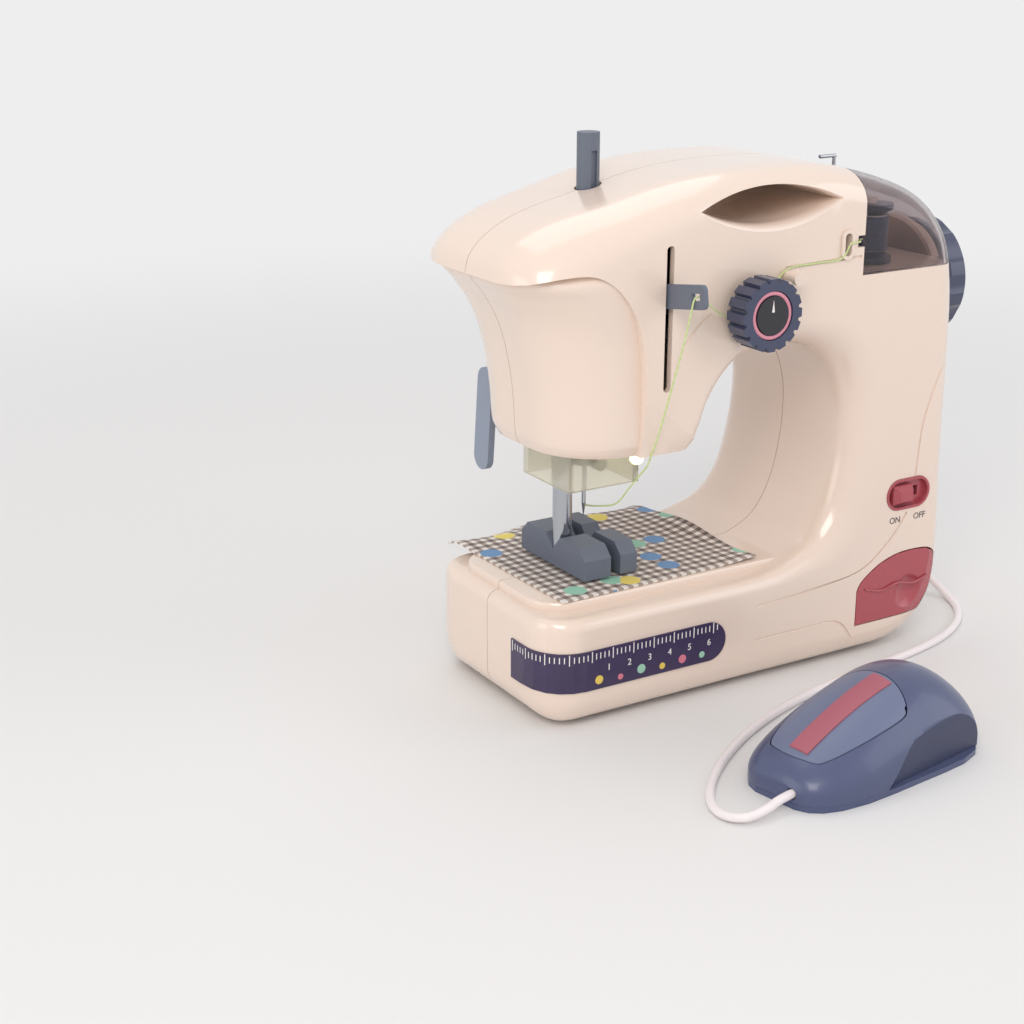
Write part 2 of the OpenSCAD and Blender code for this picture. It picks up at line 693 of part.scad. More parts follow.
// Thread peg and thread slot on the arm's front
peg_r = 1.8;
peg_head_r = 2.6;
peg_l = 6;
peg_head_l = 2;
rim_proud = 0.9;
module thread_peg() color(cream) {
    rod_y(peg_r, -arm_y - peg_l, -arm_y - seat_gap, peg_at[0], peg_at[1]);
    rod_y(peg_head_r, -arm_y - peg_l - peg_head_l, -arm_y - peg_l, peg_at[0], peg_at[1]);
}

module thread_slot() color(cream) difference() {
    guide_cut(guide_rim, -arm_y - rim_proud, -arm_y - seat_gap);
    guide_cut(0, -body_d, 0);
}

// Tension dial on its stud
disc_r = 8;
disc_t = 0.7;
disc_gap = 0.6;
stud_head_r = 6;
stud_head_t = 2;
dial_lift = 3.2;
dial_block_h = 1.3;
// One block of the rim: place along the pitch and depth
dial_block_shares = [[-0.42, 1], [-0.3, 0], [0.3, 0], [0.42, 1]];
dial_dish_r = 8.4;
dial_dish_t = 1.6;
cap_r = 6.6;
dial_y = -dial_face - dial_lift;
module tension_stud() color(steel) {
    rod_y(stud_r, dial_y - dial_w / 2, -dial_face + wall, dial_at[0], dial_at[1]);
    rod_y(stud_head_r, -dial_face + wall + slip_gap, -dial_face + wall + stud_head_t, dial_at[0], dial_at[1]);
    rod_y(stud_r, -dial_face + wall, -dial_face + wall + stud_head_t, dial_at[0], dial_at[1]);
}

module tension_discs() color(steel)
    for (k = [0, 1])
        difference() {
            rod_y(disc_r, -dial_face - seat_gap - k * (disc_t + disc_gap) - disc_t,
                -dial_face - seat_gap - k * (disc_t + disc_gap), dial_at[0], dial_at[1]);
            rod_y(stud_r + seat_gap, -body_d, 0, dial_at[0], dial_at[1]);
        }

module tension_dial() color(navy) difference() {
    translate([dial_at[0], dial_y, dial_at[1]]) rotate([90, 0, 0]) linear_extrude(dial_w)
        polygon([for (k = [0:dial_blocks - 1]) each [for (b = dial_block_shares)
            let (f = 360 * (k + b[0]) / dial_blocks, r = dial_r - b[1] * dial_block_h) [r * cos(f), r * sin(f)]]]);
    rod_y(stud_r + run_gap, dial_y - dial_w / 2 - seat_gap, 0, dial_at[0], dial_at[1]);
    rod_y(dial_dish_r, -body_d, dial_y - dial_w + dial_dish_t, dial_at[0], dial_at[1]);
}

module dial_cap() color("#26262c") rod_y(cap_r, dial_y - dial_w, dial_y - dial_w + dial_dish_t, dial_at[0], dial_at[1]);

// Take-up lever and its bracket
lever_pivot_y = 20;
lever_tilt = 9;
lever_share = 0.793;
lever_w = 8;
lever_out = 23;
eye_l = 4.4;
eye_h = 2.4;
lever_pin_r = 1.6;
bracket_t = 2.5;
bracket_h = 9;
lever_l = lever_pivot_y + arm_y + lever_out;
lever_z = foot_h + lever_share * rise_h - (lever_pivot_y + arm_y) * tan(lever_tilt);
module take_up_lever() color(grey)
    translate([lever_x, lever_pivot_y, lever_z]) rotate([-lever_tilt, 0, 0]) rotate([90, 0, 90])
        linear_extrude(lever_t) difference() {
            hull() {
                circle(r = lever_w / 2);
                translate([lever_w / 2 - lever_l, lever_w / 4]) circle(r = lever_w / 4);
                translate([lever_w / 2 - lever_l, -lever_w / 4]) circle(r = lever_w / 4);
            }
            circle(r = lever_pin_r + run_gap);
            translate([eye_l - lever_l, -eye_h / 2]) square([eye_l, eye_h]);
        }

module lever_bracket() color(steel) {
    rod_x(lever_pin_r, lever_x - plane_gap, lever_x + lever_t, lever_pivot_y, lever_z);
    box(lever_x - plane_gap - bracket_t, lever_x - plane_gap, lever_pivot_y - bracket_h / 2, arm_y - wall - seat_gap,
        lever_z - bracket_h / 2, lever_z + bracket_h / 2);
}

// Needle bar, yoke, clamp, screw and needle
key_w = 2.2;
key_depth = 1;
key_l = 26;
key_low = 6;
yoke_l = 26;
yoke_h = 8;
crank_pin_r = 2;
clamp_r = 4.6;
clamp_h = 8;
clamp_lift = 20;
clamp_screw_r = 1.6;
clamp_knob_r = 2.4;
clamp_screw_l = 6;
needle_r = 0.8;
needle_point = 5;
clamp_z = tip_z + clamp_lift;
yoke_z = shaft_z + crank_throw;
module needle_bar() color(grey) difference() {
    rod_z(bar_r, clamp_z + clamp_h / 2, bar_top, needle_x, 0);
    box(needle_x - key_w / 2, needle_x + key_w / 2, -body_d, key_depth - bar_r, bar_top - key_low - key_l,
        bar_top - key_low);
}

module needle_yoke() color(steel) difference() {
    box(needle_x, yoke_x, -yoke_l / 2, yoke_l / 2, yoke_z - yoke_h / 2, yoke_z + yoke_h / 2);
    rod_z(bar_r, 0, bar_top, needle_x, 0);
    box(needle_x + bar_r + seat_gap, yoke_x + over, -yoke_l / 2 + crank_pin_r, yoke_l / 2 - crank_pin_r,
        yoke_z - crank_pin_r - run_gap, yoke_z + crank_pin_r + run_gap);
}

module needle_clamp() color(steel) difference() {
    rod_z(clamp_r, clamp_z, clamp_z + clamp_h, needle_x, 0);
    rod_z(bar_r, clamp_z + clamp_h / 2, bar_top, needle_x, 0);
    rod_z(needle_r, 0, bar_top, needle_x, 0);
    rod_y(clamp_screw_r, -body_d, -needle_r - seat_gap, needle_x, clamp_z + clamp_h / 4);
}

module clamp_screw() color(steel) {
    rod_y(clamp_screw_r, -clamp_r - clamp_screw_l / 3, -needle_r - seat_gap, needle_x, clamp_z + clamp_h / 4);
    rod_y(clamp_knob_r, -clamp_r - clamp_screw_l, -clamp_r - clamp_screw_l / 3, needle_x, clamp_z + clamp_h / 4);
}

module needle() color(steel) {
    rod_z(needle_r, tip_z + needle_point, clamp_z + clamp_h / 2, needle_x, 0);
    translate([needle_x, 0, tip_z]) cylinder(r1 = run_gap, r2 = needle_r, h = needle_point);
}

// Presser bar with its lug, spring and foot
lug_h = 3;
lug_w = 12;
presser_top = 30;
spring_r = 5;
spring_wall = 1;
foot_lift_rest = 2;
foot_block_h = 11;
foot_gap = 4;
foot_left_w = 11;
foot_right_w = 7;
foot_chamfer = 4;
notch_w = 9;
notch_h = 5;
bridge_l = 12;
bridge_h = 6;
guide_t = 3;
upper_rise = 24;
lug_z = lifter_z + cam_r + slip_gap / 2;
foot_z = bed_h + foot_lift_rest;
upper_z = head_z + upper_rise;
module presser_bar() color(steel) {
    rod_z(presser_r, foot_z + bridge_h, head_z + upper_rise + guide_t + foot_lift, presser_x, 0);
    difference() {
        box(lug_x, presser_x, lifter_y - lug_w, lifter_y - 2 * seat_gap, lug_z, lug_z + lug_h);
        rod_z(presser_r, 0, body_h, presser_x, 0);
    }
}

module presser_spring() color(steel) difference() {
    rod_z(spring_r, lug_z + lug_h, upper_z, presser_x, 0);
    rod_z(spring_r - spring_wall, 0, body_h, presser_x, 0);
}

// One toe of the foot: a long bar with chamfered ends and a V notch on top
module toe(x0, x1) {
    h = foot_l / 2;
    translate([x0, 0, foot_z]) rotate([90, 0, 90]) linear_extrude(x1 - x0) polygon([[-h, 0], [h, 0],
        [h, foot_block_h - foot_chamfer], [h - foot_chamfer, foot_block_h], [notch_w / 2, foot_block_h],
        [0, foot_block_h - notch_h], [-notch_w / 2, foot_block_h], [foot_chamfer - h, foot_block_h],
        [-h, foot_block_h - foot_chamfer]]);
}
module presser_foot() color(grey) difference() {
    union() {
        toe(needle_x - foot_gap / 2 - foot_left_w, needle_x - foot_gap / 2);
        toe(needle_x + foot_gap / 2, needle_x + foot_gap / 2 + foot_right_w);
        box(needle_x - foot_gap / 2, needle_x + foot_gap / 2, foot_gap, foot_gap + bridge_l, foot_z,
            foot_z + bridge_h);
    }
    rod_z(presser_r, foot_z + bridge_h, body_h, presser_x, 0);
}

// Guides for the two bars: one on the head's floor, one across the head
ear_t = 2.5;
ear_w = 6;
guide_edge = 2.5;
upper_y = head_half_d - wall - seat_gap;
module upper_guide() color("#4a4d55") difference() {
    union() {
        box(presser_x - presser_r - guide_edge, yoke_x, -head_hole_d / 2, head_hole_d / 2, upper_z, upper_z + guide_t);
        box(needle_x - bar_r - guide_edge, yoke_x, -upper_y, upper_y, upper_z, upper_z + guide_t);
    }
    rod_z(bar_r + run_gap, 0, body_h, needle_x, 0);
    rod_z(presser_r + run_gap, 0, body_h, presser_x, 0);
}

module lower_guide() color("#4a4d55") {
    low = head_z + wall + seat_gap;
    x = needle_x - head_hole_shift;
    ear_x = lifter_x0 - plane_gap;
    difference() {
        union() {
            box(presser_x - presser_r - guide_edge, x + head_hole_l / 2 + guide_edge, -head_hole_d / 2 - guide_edge,
                head_hole_d / 2 + guide_edge, low, low + guide_t);
            box(ear_x - ear_t, presser_x, -ear_w, lifter_y + ear_w / 2, low, low + guide_t);
            box(ear_x - ear_t, ear_x, lifter_y - ear_w / 2, lifter_y + ear_w / 2, low, lifter_z + ear_w / 2);
        }
        rod_z(bar_r + run_gap, 0, body_h, needle_x, 0);
        rod_z(presser_r + run_gap, 0, body_h, presser_x, 0);
        rod_x(lifter_pin_r, ear_x - ear_t - over, ear_x + over, lifter_y, lifter_z);
        box(lifter_x0 - slip_gap, lifter_x1 + slip_gap, 0, body_d, low - over, low + guide_t + over);
    }
}

module lifter_lever() color("#8e97a8") difference() {
    union() {
        translate([lifter_x0, lifter_y, lifter_z]) rotate([90, 0, 90]) linear_extrude(lifter_t) {
            hull() {
                circle(r = lifter_w / 2);
                translate([lifter_back, cam_r]) circle(r = lifter_w / 2);
            }
            hull() {
                translate([lifter_back, cam_r]) circle(r = lifter_w / 2);
                translate([lifter_back + cam_r, -lifter_drop]) circle(r = lifter_w / 2);
            }
        }
        translate([lifter_x1, lifter_y, lifter_z]) rotate([90, 0, 90]) linear_extrude(cam_l) {
            circle(r = cam_r);
            polygon(concat([[0, 0]], [for (k = [0:cam_steps]) let (f = lifter_turn * k / cam_steps)
                (cam_r + foot_lift * k / cam_steps) * [sin(f), cos(f)]]));
        }
    }
    rod_x(lifter_pin_r + run_gap, -body_l, 0, lifter_y, lifter_z);
}

module lifter_pin() color(steel)
    rod_x(lifter_pin_r, lifter_x0 - plane_gap - ear_t, lifter_x1 + cam_l + plane_gap, lifter_y, lifter_z);

// Clear shroud round the bars, and the work light beside it
shroud_l = 29;
shroud_d = 30;
shroud_h = 16;
shroud_wall = 1.6;
light_r = 2.5;
light_base_r = 3.4;
light_base_h = 1.2;
light_shares = [-0.49, -0.6];
module needle_shroud() color([0.95, 0.93, 0.88, 0.6]) {
    x = needle_x - head_hole_shift;
    top = head_z + wall;
    difference() {
        box(x - shroud_l / 2, x + shroud_l / 2, -shroud_d / 2, shroud_d / 2, head_z - shroud_h, top);
        box(x - shroud_l / 2 + shroud_wall, x + shroud_l / 2 - shroud_wall, -shroud_d / 2 + shroud_wall,
            shroud_d / 2 - shroud_wall, 0, body_h);
    }
}

module work_light() color("#fff6d8") translate([light_shares[0] * half_l, light_shares[1] * half_d, head_z]) {
    translate([0, 0, -light_base_h]) cylinder(r = light_base_r, h = light_base_h);
    translate([0, 0, -light_base_h - light_r]) cylinder(r = light_r, h = light_r);
    translate([0, 0, -light_base_h - light_r]) sphere(r = light_r);
}

// Main shaft, bearing, collar, handwheel, crank and gears
bearing_share = -0.06;
bearing_l = 5;
bearing_w = 20;
bearing_top = 6;
wheel_gap = 1;
wheel_dish = 3;
wheel_edge = 2;
wheel_scallops = 12;
scallop_r = 9;
scallop_depth = 1;
hub_r = 6;
crank_r = 12;
gear_t = 2.6;
gear_share = 0.395;
tooth_share = 0.72;
addendum_share = 0.8;
dedendum_share = 1.2;
flank_share = 0.36;
pinion_turn = -45;
shaft_end = half_l + collar_w + wheel_gap + wheel_w;
gear_x = gear_share * half_l;
mesh_d = gear_module * (gear_teeth + pinion_teeth) / 2;
motor_y = mesh_d * cos(pinion_turn);
motor_z = shaft_z + mesh_d * sin(pinion_turn);
motor_space = 4;
motor_x = gear_x + gear_t + motor_space;
pinion_bore_r = 1;
module main_shaft() color(steel) rod_x(shaft_r, crank_x, shaft_end - wheel_dish, 0, shaft_z);

module shaft_bearing() color("#4a4d55") difference() {
    box(bearing_share * half_l - bearing_l / 2, bearing_share * half_l + bearing_l / 2, -bearing_w / 2, bearing_w / 2,
        throat_top + wall - 2 * slip_gap, shaft_z + bearing_top);
    rod_x(shaft_r + run_gap, -body_l, body_l, 0, shaft_z);
}

module collar() color(cream) difference() {
    translate([half_l, 0, shaft_z]) rotate([0, 90, 0]) rotate_extrude()
        polygon([[shaft_r + run_gap, -wall], [spigot_r, -wall], [spigot_r, seat_gap], [collar_r - wheel_edge / 2, seat_gap],
            [collar_r, wheel_edge / 2], [collar_r, collar_w / 2], [collar_r - wheel_edge / 2, collar_w / 2],
            [collar_r - wheel_edge, collar_w], [shaft_r + run_gap, collar_w]]);
}

module handwheel() color(navy) difference() {
    translate([half_l + collar_w + wheel_gap, 0, shaft_z]) rotate([0, 90, 0]) rotate_extrude()
        polygon([[shaft_r, 0], [wheel_r - wheel_edge, 0], [wheel_r, wheel_edge], [wheel_r, wheel_w - wheel_edge],
            [wheel_r - wheel_edge, wheel_w], [wheel_r - 2 * wheel_edge, wheel_w],
            [wheel_r - 3 * wheel_edge, wheel_w - wheel_dish], [hub_r + wheel_edge, wheel_w - wheel_dish],
            [hub_r, wheel_w], [shaft_r, wheel_w - wheel_dish]]);
    for (k = [0:wheel_scallops - 1])
        translate([half_l + collar_w, 0, shaft_z]) rotate([360 * k / wheel_scallops, 0, 0])
            translate([0, 0, wheel_r + scallop_r - scallop_depth]) rotate([0, 90, 0])
                cylinder(r = scallop_r, h = wheel_w + 2 * wheel_gap);
}

module crank_disc() color(steel) {
    difference() {
        rod_x(crank_r, crank_x, crank_x + crank_t, 0, shaft_z);
        rod_x(shaft_r, -body_l, body_l, 0, shaft_z);
    }
    rod_x(crank_pin_r, crank_pin_x, crank_x, 0, shaft_z + crank_throw);
}

// Spur gear in the YZ plane: straight flanks, with plenty of backlash as on toys
module gear(teeth, turn, bore) {
    r = gear_module * teeth / 2;
    half = 90 / teeth * tooth_share;
    tip = half - atan(addendum_share * gear_module * flank_share / r);
    root = half + atan(dedendum_share * gear_module * flank_share / r);
    top = r + addendum_share * gear_module;
    low = r - dedendum_share * gear_module;
    rotate([90, 0, 90]) linear_extrude(gear_t) difference() {
        polygon([for (k = [0:teeth - 1]) let (a = turn + 360 * k / teeth)
            each [low * [cos(a - root), sin(a - root)], top * [cos(a - tip), sin(a - tip)],
                top * [cos(a + tip), sin(a + tip)], low * [cos(a + root), sin(a + root)]]]);
        circle(r = bore);
    }
}
module drive_gear() color("#d8d4c8") translate([gear_x, 0, shaft_z]) gear(gear_teeth, pinion_turn, shaft_r);

module motor_pinion() color("#c9a24a") {
    translate([gear_x, motor_y, motor_z]) gear(pinion_teeth, pinion_turn + 180 + 180 / pinion_teeth, pinion_bore_r);
    rod_x(pinion_bore_r, gear_x, motor_x + motor_l / 2 - slip_gap, motor_y, motor_z);
}

cradle_t = 4;
cradle_space = 12;
module motor() color(steel) difference() {
    rod_x(motor_r, motor_x, motor_x + motor_l, motor_y, motor_z);
    rod_x(pinion_bore_r + run_gap, motor_x - over, motor_x + motor_l / 2, motor_y, motor_z);
}

module motor_cradle() color("#4a4d55") difference() {
    for (k = [0, 1])
        box(motor_x + cradle_t + k * cradle_space, motor_x + 2 * cradle_t + k * cradle_space, shaft_r + over,
            motor_y + motor_r, motor_z, pocket_z - wall - seat_gap);
    rod_x(motor_r + seat_gap, 0, body_l, motor_y, motor_z);
}

// Slide switch: a red frame in the front, a knob that slides in it, and the contact block behind
frame_proud = 0.6;
frame_floor = 1.4;
frame_rim = 1;
knob_l = 9;
knob_h = 7.2;
knob_out = 2.6;
knob_edge = 1.6;
knob_stem_l = 3;
knob_stem_h = 3;
knob_stem_d = 5;
block_l = 16;
block_h = 10;
block_d = 7;
switch_back = -column_y + wall + slip_gap;
module switch_frame() color(red) difference() {
    pill(switch_l, switch_h, -column_y - frame_proud, switch_back);
    pill(switch_l - 2 * frame_rim, switch_h - 2 * frame_rim, -body_d, -column_y + frame_floor);
    box(switch_at[0] - switch_travel / 2 - knob_stem_l, switch_at[0] + switch_travel / 2 + knob_stem_l, -body_d, 0,
        switch_at[1] - knob_stem_h / 2 - slip_gap, switch_at[1] + knob_stem_h / 2 + slip_gap);
}

module light_switch() color("#c25a63") translate([switch_at[0] - switch_travel / 2, 0, switch_at[1]]) {
    y = -column_y + frame_floor - slip_gap;
    hull() {
        box(-knob_l / 2, knob_l / 2, y - knob_edge, y, -knob_h / 2, knob_h / 2);
        box(-knob_l / 2 + knob_edge, knob_l / 2 - knob_edge, y - knob_edge - knob_out, y, -knob_h / 2 + knob_edge,
            knob_h / 2 - knob_edge);
    }
    box(-knob_stem_l / 2, knob_stem_l / 2, y, y + knob_stem_d, -knob_stem_h / 2, knob_stem_h / 2);
}

module switch_body() color("#3d4046") difference() {
    box(switch_at[0] - block_l / 2, switch_at[0] + block_l / 2, switch_back + seat_gap, switch_back + block_d,
        switch_at[1] - block_h / 2, switch_at[1] + block_h / 2);
    box(switch_at[0] - switch_travel / 2 - knob_stem_l, switch_at[0] + switch_travel / 2 + knob_stem_l, -body_d,
        switch_back + knob_stem_d, switch_at[1] - knob_stem_h / 2 - slip_gap, switch_at[1] + knob_stem_h / 2 + slip_gap);
}

// Drawer: its front follows the body, with a finger scoop, and a tray behind on a runner
tray_side = 1.6;
tray_inset = 3;
tray_rise_share = 0.5;
drawer_front_t = 4.4;
drawer_keys = [2, 8];
scoop_r = 13;
scoop_depth = 2.2;
scoop_shares = [0.66, 0.36];
runner_t = 1.6;
runner_leg_t = 2;
runner_leg_shares = [0.02, 0.2];
tray_back = drawer_d - half_d;
tray_x0 = drawer_x0 + tray_inset;
tray_x1 = mix(drawer_x0, drawer_x1, drawer_shares[1][0]);
module drawer() color(red) {
    difference() {
        intersection() {
            drawer_slab(0, -body_d, -half_d + drawer_front_t);
            body_run(rib_index(drawer_keys[0]), rib_index(drawer_keys[1]), 0, 0);
        }
        translate([mix(drawer_x0, drawer_x1, scoop_shares[0]), -half_d - scoop_r + scoop_depth,
            drawer_z + scoop_shares[1] * drawer_h]) sphere(r = scoop_r);
    }
    difference() {
        box(tray_x0, tray_x1, -half_d + drawer_front_t, tray_back, drawer_z + tray_side,
            drawer_z + drawer_h * tray_rise_share);
        box(tray_x0 + tray_side, tray_x1 - tray_side, -half_d + drawer_front_t, tray_back - tray_side,
            drawer_z + 2 * tray_side, body_h);
    }
}

module drawer_runner() color(cream) {
    top = drawer_z + tray_side - seat_gap;
    box(tray_x0, tray_x1 - tray_inset, -half_d + 2 * drawer_front_t, tray_back, top - runner_t, top);
    for (s = runner_leg_shares)
        translate([mix(tray_x0, tray_x1, s), 0, 0])
            box(0, runner_leg_t, -bore_d, tray_back, foot_h + wall + slip_gap, top - runner_t);
}

// Ruler strip: a thin label that follows the base's front and turns its corner
strip_t = 0.6;
strip_low = 13;
strip_h = 14.5;
strip_key = 2;
strip_y_share = -0.42;
strip_end_share = -0.17;
module ruler_strip() color("#3b3052") intersection() {
    difference() {
        body_run(0, rib_index(strip_key), -strip_t, 0);
        body_run(0, rib_index(strip_key), -seat_gap / 2, over);
    }
    union() {
        box(-body_l, strip_end_share * half_l - strip_h / 2, -body_d, strip_y_share * half_d, foot_h + strip_low,
            foot_h + strip_low + strip_h);
        rod_y(strip_h / 2, -body_d, -bore_d, strip_end_share * half_l - strip_h / 2, foot_h + strip_low + strip_h / 2);
    }
}

module shell_screws() color(steel)
    for (s = post_shares) {
        rod_y(screw_r, -screw_grip, s[2] * half_d, s[0] * half_l, foot_h + s[1] * rise_h);
        difference() {
            rod_y(screw_head_r, s[2] * half_d, s[2] * half_d + screw_head_h, s[0] * half_l, foot_h + s[1] * rise_h);
            translate([s[0] * half_l, s[2] * half_d + screw_head_h, foot_h + s[1] * rise_h]) {
                cube([screw_head_r, screw_head_h, screw_r / 2], center = true);
                cube([screw_r / 2, screw_head_h, screw_head_r], center = true);
            }
        }
    }

// Cloth on the bed: a thin sheet whose edges lift in soft ripples
cloth_shares = [-0.4, 0.22];
cloth_turn = 1;
cloth_steps = 14;
cloth_ripple = 2.4;
cloth_sag = 3;
cloth_waves = 1.4;
cloth_phase = 40;
cloth_edge_power = 6;
cloth_bed_share = 0.86;
function cloth_z(u, v) =
    let (e = pow(max(0, 2 * u - 1, 2 * v - 1), cloth_edge_power),
        out = max(0, v - cloth_bed_share) / (1 - cloth_bed_share))
    cloth_ripple * e * (1 + sin(360 * cloth_waves * (u + v) + cloth_phase)) / 2 - cloth_sag * out * out;
function cloth_row(v, z) = [for (i = [0:cloth_steps]) let (u = i / cloth_steps)
    [(u - 1 / 2) * cloth_w, (v - 1 / 2) * cloth_l, z + cloth_z(u, v)]];
module sample_cloth() color("#cbb9a8") difference() {
    translate([cloth_shares[0] * half_l, cloth_shares[1] * half_d, bed_h]) rotate([0, 0, cloth_turn])
        loft([for (j = [0:cloth_steps]) let (v = j / cloth_steps, low = cloth_row(v, seat_gap),
            high = cloth_row(v, seat_gap + cloth_t)) concat(low, [for (i = [cloth_steps:-1:0]) high[i]])],
            flip = true, strips = true);
    rod_z(needle_hole_r, 0, body_h, needle_x, 0);
}

// Cord: route points on the table, from the gland to the pedal's nose
gland_flange_r = 4.6;
gland_flange_t = 1.4;
gland_l = 9;
gland_tip_r = 2.3;
cord_r = cord_d / 2;
cord_sides = 8;
cord_steps = 3;
cord_route = [[90, 10, 24], [100, 10, 24], [108, 9, 22], [116, 5, 15], [121, -3, 6], [121, -13, 2], [115, -25, 1.6],
    [104, -36, 1.6], [89, -44, 1.6], [71, -49, 1.6], [51, -52, 1.6], [31, -55, 1.6], [11, -59, 1.6], [-9, -65, 1.6],
    [-28, -73, 1.6], [-45, -83, 1.6], [-58, -93, 1.6], [-67, -102.5, 1.6], [-71.5, -110.5, 1.6], [-71.5, -117.5, 1.8],
    [-67.5, -122.3, 2.6], [-61, -123, 3.8], [-55, -121.8, 4.7], [-49.2, -120.8, 5], [-44.3, -119.9, 5]];
module cord_gland() color("#e9e2dd") difference() {
    translate([half_l, gland_y, gland_z]) rotate([0, 90, 0]) rotate_extrude()
        polygon([[cord_r, -wall * 2], [gland_r, -wall * 2], [gland_r, seat_gap], [gland_flange_r, seat_gap],
            [gland_flange_r, gland_flange_t], [gland_r, gland_flange_t + seat_gap], [gland_tip_r, gland_l],
            [cord_r, gland_l]]);
}

// Rings of the cord, turned with the route's own direction
function route_side(d) = let (s = cross(d, [0, 0, 1])) s / norm(s);
module cord() color("#f3eceb") {
    line = smooth(cord_route, cord_steps);
    n = len(line) - 1;
    loft([for (i = [0:n])
        let (d = line[min(i + 1, n)] - line[max(i - 1, 0)], s = route_side(d), u = cross(s, d / norm(d)))
        [for (k = [0:cord_sides - 1]) let (f = 360 * k / cord_sides) line[i] + cord_r * (cos(f) * s + sin(f) * u)]],
        flip = true);
}

// Pedal: a mouse-shaped housing, with its own place on the table
pedal_x = -9;
pedal_y = -107;
pedal_turn = 10;
base_t = 2;
pedal_lip = 3;
panel_depth = 2;
pedal_steps = 2;
pedal_ring = 10;
pedal_half = pedal_l / 2;
pedal_mid = pedal_w / 2;
nose_first = 3;
nose_last = 15;
// Along the pedal: place, half width and height as shares
pedal_shares = [[-1, 0.34, 0.26], [-0.96, 0.52, 0.36], [-0.88, 0.66, 0.45], [-0.74, 0.78, 0.56], [-0.5, 0.88, 0.71],
    [-0.2, 0.93, 0.86], [0.1, 0.96, 0.96], [0.35, 0.99, 1], [0.6, 1, 0.95], [0.8, 0.93, 0.79], [0.92, 0.78, 0.58],
    [0.98, 0.6, 0.4], [1, 0.45, 0.28]];
function pedal_section(s, inset, side_inset) =
    let (x = s[0] * (pedal_half - inset), w = s[1] * pedal_mid - side_inset, low = base_t,
        lip = base_t + pedal_lip, h = max(s[2] * pedal_h - inset, lip + seat_gap))
    concat([[x, w, low]],
        [for (k = [0:pedal_ring]) let (f = 180 * k / pedal_ring) [x, w * cos(f), lip + (h - lip) * sin(f)]],
        [[x, -w, low]]);
module pedal_loft(inset, side_inset) {
    loft([for (s = smooth(pedal_shares, pedal_steps)) pedal_section(s, inset, side_inset)]);
}
// Front stretch of the pedal, which carries the treadle
module nose_loft(inset, extra) {
    stations = smooth(pedal_shares, pedal_steps);
    loft([for (k = [nose_first - extra:nose_last + extra]) pedal_section(stations[k], inset, inset)]);
}
module at_pedal() {
    translate([pedal_x, pedal_y, 0]) rotate([0, 0, pedal_turn]) children();
}

// Treadle outline and stripe, seen from above, as shares of the half length and half width
treadle_shares = [[-0.86, 0], [-0.83, -0.3], [-0.78, -0.46], [-0.45, -0.62], [0, -0.68], [0.1, -0.62], [0.18, -0.32],
    [0.2, 0], [0.18, 0.32], [0.1, 0.62], [0, 0.68], [-0.45, 0.62], [-0.78, 0.46], [-0.83, 0.3]];
stripe_shares = [[-0.8, -0.22], [0.15, -0.26], [0.16, 0.06], [-0.8, 0.08]];
module treadle_slab(grow, shares) {
    linear_extrude(2 * pedal_h) offset(delta = grow)
        polygon([for (s = shares) [s[0] * pedal_half, s[1] * pedal_mid]]);
}
panel_shares = [[-0.3, 0], [-0.12, 0.28], [0.06, 0.46], [0.25, 0.57], [0.42, 0.6], [0.6, 0.55], [0.75, 0.42],
    [0.86, 0.22], [0.9, 0]];
panel_y_share = 0.86;
module side_panels() {
    for (side = [0, 1])
        mirror([0, side, 0]) slab_y([for (s = panel_shares) [s[0] * pedal_half, base_t + s[1] * pedal_h]],
            -pedal_w, -panel_y_share * pedal_mid);
}
entry_y = -6.6;
entry_z = 5;
module pedal_housing() color("#4d5577") at_pedal() difference() {
    pedal_loft(0, 0);
    difference() {
        pedal_loft(pedal_wall, pedal_wall + panel_depth);
        box(-pedal_half, -pedal_half + pedal_wall, -pedal_w, pedal_w, 0, pedal_h);
    }
    linear_extrude(base_t + seat_gap) square(2 * pedal_l, center = true);
    translate([0, 0, base_t + pedal_lip]) treadle_slab(slip_gap, treadle_shares);
    side_panels();
    rod_x(cord_r + slip_gap, -pedal_l, -pedal_half + 2 * pedal_lip, entry_y, entry_z);
}

treadle_pin_r = 1.3;
treadle_knuckle_r = 2.6;
treadle_axis_share = 0.1;
treadle_axis_drop = 6.4;
treadle_axis_h_share = 0.96;
treadle_knuckle_l = 6;
treadle_half_share = 0.45;
pedal_post_t = 3;
pedal_post_w = 7;
spring_x_share = -0.4;
spring_h_share = 0.62;
pedal_spring_r = 4;
treadle_x = treadle_axis_share * pedal_half;
treadle_z = treadle_axis_h_share * pedal_h - treadle_axis_drop;
treadle_half = treadle_half_share * pedal_mid;
module pedal_base() color("#343a52") at_pedal() {
    linear_extrude(base_t) polygon(concat(
        [for (s = pedal_shares) [s[0] * pedal_half, -s[1] * pedal_mid]],
        [for (k = [len(pedal_shares) - 1:-1:0]) [pedal_shares[k][0] * pedal_half, pedal_shares[k][1] * pedal_mid]]));
    for (side = [-1, 1])
        difference() {
            translate([treadle_x, side * (treadle_half - treadle_knuckle_l - slip_gap - pedal_post_t / 2), 0])
                box(-pedal_post_w / 2, pedal_post_w / 2, -pedal_post_t / 2, pedal_post_t / 2, base_t, treadle_z);
            translate([treadle_x, pedal_w, treadle_z]) rotate([90, 0, 0]) cylinder(r = treadle_pin_r, h = 2 * pedal_w);
        }
}

